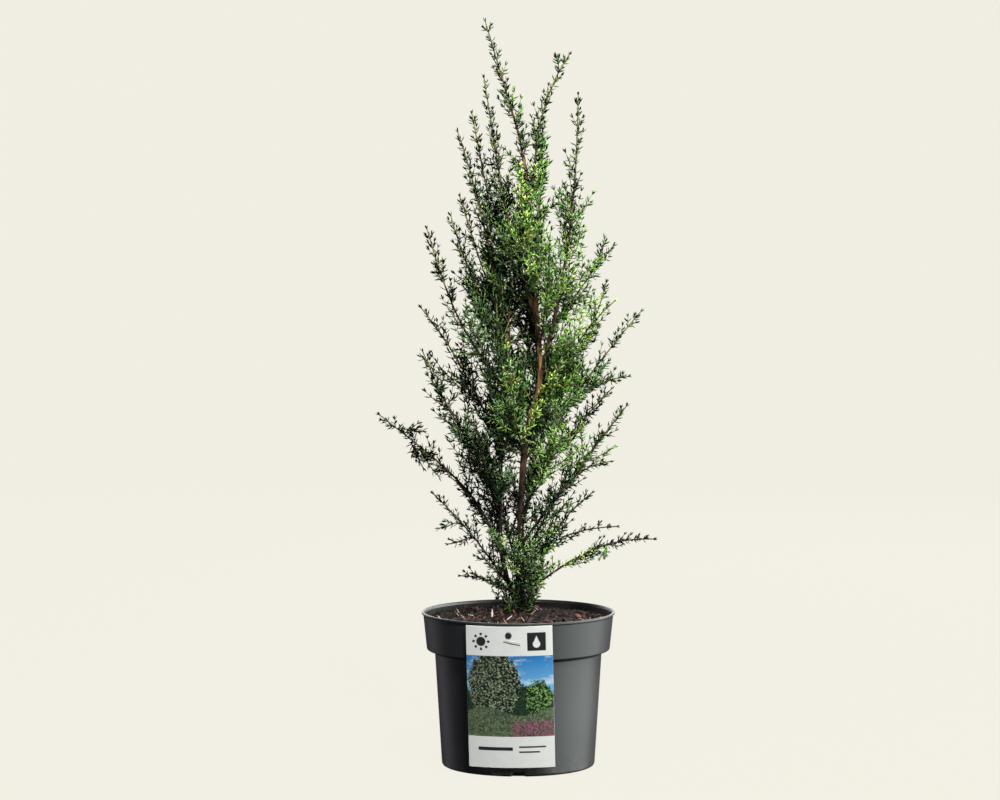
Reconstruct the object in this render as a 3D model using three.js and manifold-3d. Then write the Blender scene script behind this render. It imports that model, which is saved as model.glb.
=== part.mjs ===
// A young upright common juniper in a round plastic nursery pot, with the plant label on the pot's front.
// Millimetres, +Z up, +X to the viewer's right, the label facing -Y.
// The origin is the middle of the pot's flat underside.

import * as THREE from 'three';
import { mergeVertices } from 'three/addons/utils/BufferGeometryUtils.js';
import Module from 'manifold-3d';

const wasm = await Module();
wasm.setup();

// Driving dimensions

const CLEAR = 0.3; // gap between two pieces that touch

const POT = {
  height: 152,
  rimRadius: 95,
  lip: 1.3,
  bandFoot: 115,
  bandTaper: 0.103,
  bodyTopRadius: 82.2,
  footRadius: 75.2,
  corner: 3.6,
  wall: 1.4,
  floor: 3,
  sides: 36,
};

const SOIL = { crest: 149.6, edge: 142.5, seat: 15, dome: 52, sides: 26 };

const LABEL = {
  width: 84.5,
  height: 140,
  thick: 0.6,
  top: 149,
  bendRadius: 150,
  offCentre: -10,
  tilt: 0.7,
  strips: 6,
};

const PEG = { headRadius: 3.1, headHeight: 1.5, shankRadius: 1.2, belowTop: 8.5, sides: 10 };

const TRUNK = {
  foot: SOIL.crest + CLEAR,
  top: 604,
  baseRadius: 4.4,
  topRadius: 1.2,
  flare: 3.4,
  flareHeight: 11,
  sides: 8,
  segments: 18,
};

const SIDE_STEM = { foot: 158, top: 474, baseRadius: 2.5, topRadius: 1.3, sides: 6, segments: 14 };

const BOUGH = { thickPerLength: 0.0125, leastRadius: 1.3, sides: 5, segment: 14, bow: 0.4 };

const TWIG = { radius: 1.2, tipRadius: 0.6, whorlGap: 9 };

const NEEDLE = { length: 12.5, radius: 0.3, spread: 44 };

const SHOOT = {
  vigour: 1.5,
  fade: 1.15, // how steeply shoots shorten towards the tip
  least: 9, // a shoot shorter than this stays a whorl of needles
  spread: 38,
  spreadRange: 14,
  lengthRange: 0.5,
  lift: 0.34,
};

// Clearances inside the crown: between two masses, off bare wood and soil, from a needle to a twig and to
// the needles of another twig, and from one shoot to the next
const ROOM = { masses: 0.45, wood: 0.9, soil: 2, twig: 1.4, needle: 3, shoot: 4.2 };

// Colours read from the photograph

const material = (color, roughness, metalness = 0) =>
  new THREE.MeshStandardMaterial({ color, roughness, metalness });
const finish = {
  pot: material(0x34363a, 0.5),
  soil: material(0x2e1c16, 1),
  label: material(0xe9ecea, 0.45),
  peg: material(0x17191b, 0.5),
  bark: material(0x5a3a2a, 0.9),
  foliage: material(0x2f5a2c, 0.7),
};

// Solids from three.js geometry, and back

function solidOf(geometry) {
  const bare = new THREE.BufferGeometry();
  bare.setAttribute('position', geometry.getAttribute('position'));
  bare.setIndex(geometry.index);
  const merged = mergeVertices(bare, 1e-4);
  const corners = merged.index.array;
  const kept = [];
  for (let i = 0; i < corners.length; i += 3) {
    const [a, b, c] = corners.slice(i, i + 3);
    if (a !== b && b !== c && c !== a) kept.push(a, b, c);
  }
  return new wasm.Manifold(
    new wasm.Mesh({
      numProp: 3,
      vertProperties: merged.getAttribute('position').array,
      triVerts: new Uint32Array(kept),
    }),
  );
}

function geometryOf(solid) {
  const mesh = solid.getMesh();
  const geometry = new THREE.BufferGeometry();
  geometry.setAttribute('position', new THREE.BufferAttribute(mesh.vertProperties, 3));
  geometry.setIndex(new THREE.BufferAttribute(mesh.triVerts, 1));
  return geometry.toNonIndexed();
}

function largestBody(solid) {
  const bodies = solid.decompose();
  return bodies.reduce((best, body) => (body.volume() > best.volume() ? body : best));
}

const plant = new THREE.Group();

function addPiece(name, solid, finishOfPiece) {
  const geometry = geometryOf(solid);
  geometry.computeVertexNormals();
  const mesh = new THREE.Mesh(geometry, finishOfPiece);
  mesh.name = name;
  plant.add(mesh);
}

// A profile of [radius, height] points turned about the Z axis

function turned(profile, sides) {
  const points = profile.map(([radius, height]) => new THREE.Vector2(radius, height));
  return solidOf(new THREE.LatheGeometry(points, sides).rotateX(Math.PI / 2));
}

// Pot: a tapered body, a deeper rim band that overhangs it, and a rounded lip

const bandRadius = (z) => POT.rimRadius - POT.lip - (POT.height - POT.lip - z) * POT.bandTaper;
const bodyRadius = (z) =>
  POT.footRadius + ((POT.bodyTopRadius - POT.footRadius) * z) / (POT.bandFoot - POT.lip);
const insideRadius = (z) => (z < POT.bandFoot ? bodyRadius(z) : bandRadius(z)) - POT.wall;

function potSolid() {
  const { height, rimRadius, lip, bandFoot, corner, wall, floor } = POT;
  const stepTop = bandFoot + wall;
  return turned(
    [
      [0, 0],
      [bodyRadius(0) - corner, 0],
      [bodyRadius(0) - corner * 0.3, corner * 0.3],
      [bodyRadius(corner), corner],
      [bodyRadius(bandFoot - lip), bandFoot - lip],
      [bandRadius(bandFoot) - lip * 0.6, bandFoot],
      [bandRadius(bandFoot), bandFoot + lip * 0.6],
      [bandRadius(height - lip * 2), height - lip * 2],
      [rimRadius, height - lip],
      [rimRadius - lip * 0.3, height],
      [rimRadius - lip * 1.6, height],
      [bandRadius(height - lip * 2) - wall, height - lip * 2],
      [bandRadius(stepTop) - wall, stepTop],
      [bodyRadius(stepTop) - wall, stepTop],
      [bodyRadius(floor) - wall, floor],
      [0, floor],
    ],
    POT.sides,
  );
}

// Soil: fills the pot and rises in a low mound with a flat seat for the trunk

function soilSolid() {
  const { crest, edge, seat, dome, sides } = SOIL;
  const step = POT.bandFoot + POT.wall + CLEAR;
  const shrink = CLEAR + (1 - Math.cos(Math.PI / POT.sides)) * POT.rimRadius;
  const bottom = POT.floor + CLEAR;
  return turned(
    [
      [0, bottom],
      [bodyRadius(bottom) - POT.wall - shrink, bottom],
      [bodyRadius(step) - POT.wall - shrink, step],
      [bandRadius(step) - POT.wall - shrink, step],
      [insideRadius(edge) - shrink, edge],
      [dome, (crest + edge) / 2 + 1.6],
      [seat, crest],
      [0, crest],
    ],
    sides,
  );
}

// Label: a thin card, bent a little round the pot, that lies along the slope of the rim band

const lean = Math.atan(POT.bandTaper);

function ontoLabel(solid) {
  const face = bandRadius(LABEL.top) + CLEAR;
  const place = new THREE.Matrix4()
    .makeTranslation(0, 0, LABEL.top)
    .multiply(new THREE.Matrix4().makeRotationZ(Math.asin(LABEL.offCentre / face)))
    .multiply(new THREE.Matrix4().makeTranslation(0, -face, 0))
    .multiply(new THREE.Matrix4().makeRotationX(lean))
    .multiply(new THREE.Matrix4().makeRotationY(THREE.MathUtils.degToRad(-LABEL.tilt)));
  return solid.transform(place.elements);
}

function labelSolid() {
  const { width, height, thick, bendRadius, strips } = LABEL;
  const half = width / 2 / bendRadius;
  const arc = (radius, angle) => [radius * Math.sin(angle), radius * Math.cos(angle) - bendRadius];
  const outline = [];
  for (let i = 0; i <= strips; i += 1) outline.push(arc(bendRadius, half * ((2 * i) / strips - 1)));
  for (let i = strips; i >= 0; i -= 1) outline.push(arc(bendRadius + thick, half * ((2 * i) / strips - 1)));
  const shape = new THREE.Shape(outline.map(([x, y]) => new THREE.Vector2(x, y)));
  const card = new THREE.ExtrudeGeometry(shape, { depth: height, bevelEnabled: false });
  card.rotateX(Math.PI);
  return solidOf(card).subtract(pegHole(PEG.shankRadius + CLEAR, thick * 4));
}

// A short cylinder across the label where its peg goes through

function pegHole(radius, depth) {
  const hole = new THREE.CylinderGeometry(radius, radius, depth, PEG.sides);
  return solidOf(hole.translate(0, 0, -PEG.belowTop));
}

function pegSolid() {
  const { headRadius, headHeight, shankRadius } = PEG;
  const headBase = LABEL.thick + CLEAR;
  const peg = turned(
    [
      [0, -POT.wall * 0.6],
      [shankRadius, -POT.wall * 0.6],
      [shankRadius, headBase],
      [headRadius, headBase],
      [headRadius * 0.86, headBase + headHeight * 0.7],
      [0, headBase + headHeight],
    ],
    PEG.sides,
  );
  const outward = new THREE.Matrix4()
    .makeTranslation(0, 0, -PEG.belowTop)
    .multiply(new THREE.Matrix4().makeRotationX(Math.PI / 2));
  return ontoLabel(peg.transform(outward.elements));
}

// Courses: a line through space that can be read at any distance along it

const UP = new THREE.Vector3(0, 0, 1);
const RIGHT = new THREE.Vector3(1, 0, 0);
const BACK = new THREE.Vector3(0, 1, 0);

const COURSE = { steps: 100, window: 1.5 };
const START = 0.01; // just past a course's first point, for a limb that starts inside another

function courseOf(curve) {
  const points = curve.getPoints(COURSE.steps);
  const reach = [0];
  for (let i = 1; i < points.length; i += 1) reach.push(reach[i - 1] + points[i].distanceTo(points[i - 1]));
  return { points, reach, length: reach.at(-1) };
}

function spanAt(course, distance) {
  const last = course.points.length - 2;
  let i = 0;
  while (i < last && course.reach[i + 1] < distance) i += 1;
  return i;
}

function pointAt(course, distance) {
  const i = spanAt(course, distance);
  const share = (distance - course.reach[i]) / (course.reach[i + 1] - course.reach[i]);
  return course.points[i].clone().lerp(course.points[i + 1], share);
}

function aimAt(course, distance) {
  const before = pointAt(course, Math.max(distance - COURSE.window, 0));
  const after = pointAt(course, Math.min(distance + COURSE.window, course.length));
  return after.sub(before).normalize();
}

function distanceAtHeight(course, height) {
  const i = Math.max(course.points.findIndex((point) => point.z > height), 1);
  const [low, high] = [course.points[i - 1], course.points[i]];
  const share = (height - low.z) / (high.z - low.z);
  return course.reach[i - 1] + share * (course.reach[i] - course.reach[i - 1]);
}

// Two directions across a line, which make a right-handed set with its aim. They are taken from whichever
// level direction the line keeps well away from.

const besideOf = (reach) => (Math.abs(reach.x) < Math.abs(reach.y) ? RIGHT : BACK);

function across(aim, beside) {
  const side = new THREE.Vector3().crossVectors(aim, beside).normalize();
  return { side, over: new THREE.Vector3().crossVectors(aim, side) };
}

function ringPoint(centre, aim, beside, radius, angle) {
  const { side, over } = across(aim, beside);
  return centre
    .clone()
    .addScaledVector(side, radius * Math.cos(angle))
    .addScaledVector(over, radius * Math.sin(angle));
}

// A limb: a cylinder bent along a stretch of a course, with its radius read from a function of distance.
// One that starts at its course's first point is cut level there.

function limbSolid(course, from, to, radiusAt, sides, segments) {
  const geometry = new THREE.CylinderGeometry(1, 1, 1, sides, segments);
  const position = geometry.getAttribute('position');
  for (let i = 0; i < position.count; i += 1) {
    const distance = from + (to - from) * (position.getY(i) + 0.5);
    const radius = radiusAt(distance) * Math.hypot(position.getX(i), position.getZ(i));
    const angle = Math.atan2(position.getX(i), position.getZ(i));
    const aim = distance === 0 ? UP : aimAt(course, distance);
    const point = ringPoint(pointAt(course, distance), aim, BACK, radius, angle);
    position.setXYZ(i, point.x, point.y, point.z);
  }
  return solidOf(geometry);
}

// Trunk and side stem. Each row is [right, back, height] of a bend that the photograph shows.

const trunkBends = [
  [0.5, 0, TRUNK.foot],
  [2, 0, 205],
  [3, 1, 265],
  [8, 1, 328],
  [21, -3, 378],
  [19, -3, 430],
  [12, 0, 500],
  [10, 2, 560],
  [2, 3, 612],
  [-12, 2, 662],
  [-33, -2, 732],
];
const sideStemBends = [
  [-1, 2, SIDE_STEM.foot],
  [-14, 4, 196],
  [-18, 6, 240],
  [-17, 7, 304],
  [-13, 8, 362],
  [-9, 8, 428],
  [-13, 8, 490],
  [-30, 9, 562],
  [-46, 8, 643],
];

const curveThrough = (rows) =>
  new THREE.CatmullRomCurve3(rows.map((row) => new THREE.Vector3(...row)), false, 'catmullrom', 0.5);

function makeStem(bends, size) {
  const course = courseOf(curveThrough(bends));
  const top = distanceAtHeight(course, size.top);
  const slim = (distance) => size.baseRadius + ((size.topRadius - size.baseRadius) * distance) / top;
  const flare = (distance) => (size.flare ? size.flare * Math.exp(-distance / size.flareHeight) : 0);
  return { course, top, size, radiusAt: (distance) => slim(distance) + flare(distance) };
}

const stems = { trunk: makeStem(trunkBends, TRUNK), side_stem: makeStem(sideStemBends, SIDE_STEM) };

// Limbs, by the stem that they leave. rise is the height where a limb leaves, tip is its end as
// [right, back, height], and bow is its slant at foot and tip in degrees from upright. bushy is the length
// of its lowest side shoots, and bare the length of limb that is a bough of its own before the foliage.

const limbRows = {
  trunk: [
    { name: 'leader_right', rise: 548, tip: [51, 6, 700], bow: [8, 34], bushy: 15 },
    { name: 'leader_far_right', rise: 384, tip: [58, -14, 661], bow: [15, 1], bushy: 28, bare: 58 },
    { name: 'leader_left', rise: 436, tip: [-34, -16, 677], bow: [20, 10], bushy: 24, bare: 48 },
    { name: 'leader_front', rise: 462, tip: [2, -38, 592], bow: [26, 4], bushy: 28 },
    { name: 'leader_back', rise: 470, tip: [24, 40, 628], bow: [24, 8], bushy: 30, bare: 34 },
    { name: 'left_foot', rise: 168, tip: [-59, -26, 190], bow: [62, 88], bushy: 15 },
    { name: 'right_high', rise: 420, tip: [95, 18, 513], bow: [46, 42], bushy: 32 },
    { name: 'right_upper', rise: 358, tip: [95, -26, 460], bow: [42, 50], bushy: 34 },
    { name: 'right_shoulder', rise: 338, tip: [80, 50, 430], bow: [44, 40], bushy: 34 },
    { name: 'right_long', rise: 300, tip: [122, 6, 449], bow: [40, 41], bushy: 30, bare: 52 },
    { name: 'right_middle', rise: 318, tip: [109, -34, 386], bow: [42, 82], bushy: 32 },
    { name: 'right_back', rise: 268, tip: [94, 40, 370], bow: [44, 48], bushy: 32 },
    { name: 'right_waist', rise: 215, tip: [108, 8, 356], bow: [34, 38], bushy: 28, bare: 66 },
    { name: 'right_inner', rise: 206, tip: [92, -24, 302], bow: [38, 84], bushy: 26 },
    { name: 'right_low', rise: 172, tip: [75, 26, 268], bow: [28, 54], bushy: 30 },
    { name: 'right_twig', rise: 196, tip: [100, 26, 233], bow: [50, 90], bushy: 13 },
    { name: 'right_foot', rise: 166, tip: [135, -8, 224], bow: [54, 92], bushy: 12, bare: 52 },
    { name: 'front_high', rise: 410, tip: [30, -60, 516], bow: [38, 12], bushy: 32, bare: 28 },
    { name: 'front_middle', rise: 304, tip: [-12, -80, 424], bow: [48, 24], bushy: 32 },
    { name: 'front_right', rise: 246, tip: [46, -76, 362], bow: [44, 34], bushy: 32, bare: 30 },
    { name: 'front_low', rise: 184, tip: [-28, -64, 240], bow: [44, 56], bushy: 22 },
    { name: 'front_foot', rise: 172, tip: [20, -58, 222], bow: [44, 52], bushy: 26 },
    { name: 'back_high', rise: 400, tip: [8, 68, 506], bow: [42, 14], bushy: 32 },
    { name: 'back_upper', rise: 322, tip: [46, 74, 436], bow: [44, 26], bushy: 32 },
    { name: 'back_low', rise: 226, tip: [24, 78, 336], bow: [42, 44], bushy: 32 },
    { name: 'back_foot', rise: 188, tip: [-30, 62, 284], bow: [40, 50], bushy: 28 },
  ],
  side_stem: [
    { name: 'leader_outer_left', rise: 452, tip: [-60, -18, 625], bow: [24, 22], bushy: 22 },
    { name: 'leader_back_left', rise: 400, tip: [-30, 52, 566], bow: [28, 8], bushy: 32 },
    { name: 'left_spire', rise: 434, tip: [-58, 4, 562], bow: [30, 18], bushy: 22 },
    { name: 'left_high', rise: 418, tip: [-67, 18, 543], bow: [34, 16], bushy: 28 },
    { name: 'left_upper', rise: 372, tip: [-90, -14, 531], bow: [42, 17], bushy: 28, bare: 34 },
    { name: 'left_middle', rise: 318, tip: [-97, 12, 452], bow: [30, 40], bushy: 32, bare: 36 },
    { name: 'left_waist', rise: 284, tip: [-94, -30, 412], bow: [46, 24], bushy: 30, bare: 30 },
    { name: 'left_back', rise: 262, tip: [-66, 50, 346], bow: [46, 46], bushy: 30 },
    { name: 'left_long', rise: 190, tip: [-138, -8, 348], bow: [12, 51], bushy: 22, bare: 84 },
    { name: 'left_inner', rise: 222, tip: [-68, 22, 283], bow: [42, 58], bushy: 24 },
    { name: 'left_low', rise: 172, tip: [-85, -14, 271], bow: [34, 46], bushy: 20 },
    { name: 'front_upper', rise: 352, tip: [-22, -62, 470], bow: [38, 14], bushy: 32 },
    { name: 'front_left', rise: 244, tip: [-44, -74, 350], bow: [44, 36], bushy: 32 },
    { name: 'back_middle', rise: 296, tip: [-34, 80, 412], bow: [44, 30], bushy: 32 },
  ],
};

const radians = THREE.MathUtils.degToRad;

function limbCourse(parent, row) {
  const foot = pointAt(parent, distanceAtHeight(parent, row.rise));
  const tip = new THREE.Vector3(...row.tip);
  const outward = tip.clone().sub(foot).setZ(0).normalize();
  const [leave, end] = row.bow.map((angle) =>
    outward.clone().multiplyScalar(Math.sin(radians(angle))).addScaledVector(UP, Math.cos(radians(angle))),
  );
  const handle = foot.distanceTo(tip) * BOUGH.bow;
  const early = foot.clone().addScaledVector(leave, handle);
  const late = tip.clone().addScaledVector(end, -handle);
  return courseOf(new THREE.CubicBezierCurve3(foot, early, late, tip));
}

const taper = (from, to, length) => (distance) => from + ((to - from) * distance) / length;

function makeLimb(stem, row) {
  const course = limbCourse(stems[stem].course, row);
  const footRadius = Math.max(BOUGH.leastRadius, course.length * BOUGH.thickPerLength);
  const radiusAt = taper(footRadius, TWIG.tipRadius, course.length);
  return { ...row, course, radiusAt, start: row.bare ?? 0 };
}

const limbs = Object.entries(limbRows).flatMap(([stem, rows]) => rows.map((row) => makeLimb(stem, row)));

// Above its bare wood each stem carries on as a leader of foliage.

function makeLeader(name, stem, bushy) {
  const { course, top, radiusAt } = stems[stem];
  const slim = taper(radiusAt(top), TWIG.tipRadius, course.length - top);
  return { name, bushy, course, start: top, radiusAt: (distance) => slim(distance - top) };
}

const leaders = [makeLeader('leader_top', 'trunk', 14), makeLeader('leader_side', 'side_stem', 24)];
const sprays = [...leaders, ...limbs].map((spray, i) => ({ ...spray, seed: i + 1 }));

// Bare wood: the trunk, then the side stem and the boughs cut clear of what they grow from

function stemSolid({ course, top, radiusAt, size }, grow) {
  return limbSolid(course, 0, top, (distance) => radiusAt(distance) + grow, size.sides, size.segments);
}

function boughSolid({ course, bare, radiusAt }) {
  return limbSolid(course, START, bare, radiusAt, BOUGH.sides, Math.ceil(bare / BOUGH.segment));
}

const aroundTrunk = stemSolid(stems.trunk, CLEAR);
const aroundStems = aroundTrunk.add(stemSolid(stems.side_stem, CLEAR));
const boughs = limbs.filter((limb) => limb.bare);
const woodSolids = {
  trunk: stemSolid(stems.trunk, 0),
  side_stem: largestBody(stemSolid(stems.side_stem, 0).subtract(aroundTrunk)),
};
for (const limb of boughs) {
  woodSolids[`bough_${limb.name}`] = largestBody(boughSolid(limb).subtract(aroundStems));
}

// The space of each mass of foliage: what is nearer to its own stem than to any other, and clear of wood

const SLACK = 1e-6; // share of a step by which a last point may miss the end

function pointsAlong(course, from, to, step) {
  const count = Math.floor((to - from) / step + SLACK);
  const steps = Array.from({ length: count + 1 }, (_, i) => from + i * step);
  return steps.map((along) => ({ along, at: pointAt(course, along) }));
}

const wood = [
  ...Object.values(stems).map(({ course, top, radiusAt }) => ({ course, end: top, radiusAt })),
  ...boughs.map(({ course, bare, radiusAt }) => ({ course, end: bare, radiusAt })),
].flatMap(({ course, end, radiusAt }) =>
  pointsAlong(course, 0, end, 3).map(({ at, along }) => ({ at, radius: radiusAt(along) })),
);
for (const spray of sprays) {
  spray.spine = pointsAlong(spray.course, spray.start, spray.course.length, 4).map(({ at }) => at);
}

const nearest = (point, spine) => Math.min(...spine.map((other) => point.distanceTo(other)));

function inOwnSpace(spray, point, girth) {
  if (wood.some(({ at, radius }) => point.distanceTo(at) < radius + girth + ROOM.wood)) return false;
  if (point.z < SOIL.crest + ROOM.soil) return false;
  const own = nearest(point, spray.spine) + 2 * (girth + ROOM.masses);
  return sprays.every((other) => other === spray || nearest(point, other.spine) > own);
}

// A repeatable draw between 0 and 1, for one use by one shoot of one spray

function draw(seed, shoot, use) {
  const wave = Math.sin(seed * 127.1 + shoot * 311.7 + use * 74.7) * 43758.5453;
  return wave - Math.floor(wave);
}

// A mass of foliage grows as one closed skin. Along each twig, triangular rings are turned a sixth of a turn
// from one to the next, and from the forward faces between two rings rises a whorl of three needles.
// A side shoot takes the place of one needle and grows in the same way.

function addRing(skin, centre, aim, beside, radius, turn) {
  const corner = (k) => ringPoint(centre, aim, beside, radius, turn + (k * 2 * Math.PI) / 3);
  return [0, 1, 2].map((k) => skin.corners.push(corner(k)) - 1);
}

function middleOf(skin, face) {
  return face.reduce((sum, i) => sum.add(skin.corners[i]), new THREE.Vector3()).divideScalar(3);
}

const clearOf = (others, line, room) => others.every((other) => line.distanceSqToLine3(other) > room ** 2);

function growTwig(skin, points, base, turn, footRadius) {
  const last = points.length - 1;
  const beside = besideOf(points[last].clone().sub(points[0]));
  const buds = [];
  let low = base;
  for (let i = 0; i < last; i += 1) {
    skin.twigs.push(new THREE.Line3(points[i], points[i + 1]));
    if (i + 1 === last) {
      const tip = skin.corners.push(points[last]) - 1;
      low.forEach((corner, k) => skin.faces.push([corner, low[(k + 1) % 3], tip]));
      break;
    }
    const aim = points[i + 2].clone().sub(points[i]).normalize();
    const radius = footRadius + ((TWIG.tipRadius - footRadius) * (i + 1)) / last;
    const high = addRing(skin, points[i + 1], aim, beside, radius, turn + ((i + 1) * Math.PI) / 3);
    const axis = points[i].clone().lerp(points[i + 1], 1 / 3);
    const along = points[i + 1].clone().sub(points[i]).normalize();
    for (let k = 0; k < 3; k += 1) {
      const next = (k + 1) % 3;
      skin.faces.push([low[next], high[next], high[k]]);
      buds.push({ face: [low[k], low[next], high[k]], axis, along, whorl: i, twig: points });
    }
    low = high;
  }
  return buds;
}

// The way a needle or a shoot points from its face: outward, bent forward by its spread from the twig

function headingOf(skin, bud, spread) {
  const outward = middleOf(skin, bud.face).sub(bud.axis).projectOnPlane(bud.along).normalize();
  const angle = radians(spread);
  return outward.multiplyScalar(Math.sin(angle)).addScaledVector(bud.along, Math.cos(angle));
}

function needleTip(skin, spray, bud) {
  const foot = middleOf(skin, bud.face);
  const tip = foot.clone().addScaledVector(headingOf(skin, bud, NEEDLE.spread), NEEDLE.length);
  const part = (share) => foot.clone().lerp(tip, share);
  if ([0.3, 0.6, 1].some((share) => !inOwnSpace(spray, part(share), NEEDLE.radius))) return null;
  if (!clearOf(skin.twigs, new THREE.Line3(part(0.4), tip), ROOM.twig)) return null;
  const line = new THREE.Line3(foot, tip);
  line.twig = bud.twig;
  if (!clearOf(skin.needles.filter(({ twig }) => twig !== bud.twig), line, ROOM.needle)) return null;
  skin.needles.push(line);
  return tip;
}

function shootPoints(skin, spray, bud) {
  const vary = (use) => draw(spray.seed, bud.whorl, use) - 0.5;
  const spread = SHOOT.spread + SHOOT.spreadRange * vary(2);
  const nearTip = bud.whorl / spray.whorls;
  const fullLength = SHOOT.vigour * spray.bushy * (1 - nearTip) ** SHOOT.fade;
  const length = fullLength * (1 + SHOOT.lengthRange * vary(3));
  const foot = middleOf(skin, bud.face);
  const heading = headingOf(skin, bud, spread);
  const at = (share) =>
    foot
      .clone()
      .addScaledVector(heading, length * share)
      .addScaledVector(UP, SHOOT.lift * length * share ** 2);
  const steps = length < SHOOT.least ? 0 : Math.max(2, Math.round(length / TWIG.whorlGap));
  const points = [foot];
  for (let i = 1; i <= steps; i += 1) {
    const point = at(i / steps);
    const inside = [point, at((i - 0.5) / steps)].every((spot) => inOwnSpace(spray, spot, TWIG.radius));
    const line = new THREE.Line3(points[i - 1], point);
    if (!inside || (i > 1 && !clearOf(skin.twigs, line, ROOM.shoot))) break;
    points.push(point);
  }
  return points;
}

// A shoot grows from whichever face of its whorl leaves it the most room. Its own first faces stay flat.

function growShoot(skin, spray, whorl) {
  const first = Math.floor(3 * draw(spray.seed, whorl[0].whorl, 1));
  let best = { points: [] };
  for (let k = 0; k < 3; k += 1) {
    const bud = whorl[(first + k) % 3];
    const points = shootPoints(skin, spray, bud);
    if (points.length > best.points.length) best = { bud, points };
  }
  const { bud, points } = best;
  if (points.length < 3) return [];
  const aim = points[1].clone().sub(points[0]).normalize();
  const { side, over } = across(aim, besideOf(points.at(-1).clone().sub(points[0])));
  const peak = skin.corners[bud.face[2]].clone().sub(points[0]);
  const turn = Math.atan2(peak.dot(over), peak.dot(side)) - (4 * Math.PI) / 3;
  const buds = growTwig(skin, points, bud.face, turn, TWIG.radius * 0.9);
  skin.faces.push(...buds.splice(0, 3).map(({ face }) => face));
  bud.taken = true;
  return buds;
}

function growNeedle(skin, spray, bud) {
  const tip = needleTip(skin, spray, bud);
  if (!tip) {
    skin.faces.push(bud.face);
    return;
  }
  const peak = skin.corners.push(tip) - 1;
  bud.face.forEach((corner, k) => skin.faces.push([corner, bud.face[(k + 1) % 3], peak]));
}

function spraySolid(spray) {
  const from = spray.start > 0 ? spray.start + CLEAR : START;
  const span = spray.course.length - from;
  spray.whorls = Math.round(span / TWIG.whorlGap);
  const spine = pointsAlong(spray.course, from, spray.course.length, span / spray.whorls).map(({ at }) => at);
  const skin = { corners: [], faces: [], twigs: [], needles: [] };
  const footRadius = Math.max(spray.radiusAt(from), TWIG.radius);
  const beside = besideOf(spine.at(-1).clone().sub(spine[0]));
  const base = addRing(skin, spine[0], aimAt(spray.course, from), beside, footRadius, 0);
  skin.faces.push(base.toReversed());
  const buds = growTwig(skin, spine, base, 0, footRadius);
  skin.faces.push(...buds.slice(0, 3).map(({ face }) => face));
  const shootBuds = [];
  for (let whorl = 1; whorl + 2 < spray.whorls; whorl += 1) {
    shootBuds.push(...growShoot(skin, spray, buds.slice(3 * whorl, 3 * whorl + 3)));
  }
  const needleBuds = [...buds.slice(3).filter(({ taken }) => !taken), ...shootBuds];
  needleBuds.forEach((bud) => growNeedle(skin, spray, bud));
  const geometry = new THREE.BufferGeometry();
  const position = skin.corners.flatMap((corner) => corner.toArray());
  geometry.setAttribute('position', new THREE.Float32BufferAttribute(position, 3));
  geometry.setIndex(skin.faces.flat());
  const whole = solidOf(geometry);
  return largestBody(spray.start > 0 ? whole : whole.subtract(aroundStems));
}

// Assembly

addPiece('pot', potSolid().subtract(ontoLabel(pegHole(PEG.shankRadius + CLEAR, POT.wall * 2))), finish.pot);
addPiece('soil', soilSolid(), finish.soil);
addPiece('label', ontoLabel(labelSolid()), finish.label);
addPiece('label_peg', pegSolid(), finish.peg);
for (const [name, solid] of Object.entries(woodSolids)) addPiece(name, solid, finish.bark);
for (const spray of sprays) addPiece(`foliage_${spray.name}`, spraySolid(spray), finish.foliage);

export default plant;
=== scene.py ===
import math

import bpy
from mathutils import Matrix, Vector, noise


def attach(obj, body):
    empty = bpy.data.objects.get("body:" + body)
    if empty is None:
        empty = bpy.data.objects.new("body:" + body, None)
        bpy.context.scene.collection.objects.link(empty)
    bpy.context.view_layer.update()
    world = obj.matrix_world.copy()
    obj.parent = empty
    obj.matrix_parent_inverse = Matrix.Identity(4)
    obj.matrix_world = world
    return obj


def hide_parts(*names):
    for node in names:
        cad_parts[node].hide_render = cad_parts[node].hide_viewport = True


# A young upright common juniper in a round nursery pot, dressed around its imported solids.
# The plant's rule is written in millimetres, as in the part's source, and meshes are in metres.

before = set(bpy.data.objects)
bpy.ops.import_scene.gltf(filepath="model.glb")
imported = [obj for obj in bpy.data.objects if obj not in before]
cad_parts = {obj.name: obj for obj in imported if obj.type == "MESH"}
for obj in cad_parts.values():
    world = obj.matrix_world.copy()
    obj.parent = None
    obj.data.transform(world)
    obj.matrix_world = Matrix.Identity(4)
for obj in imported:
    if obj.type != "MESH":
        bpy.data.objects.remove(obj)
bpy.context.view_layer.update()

MM = 0.001
UP = Vector((0, 0, 1))
RIGHT = Vector((1, 0, 0))
BACK = Vector((0, 1, 0))


# Node trees, for shaders and for geometry


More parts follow.
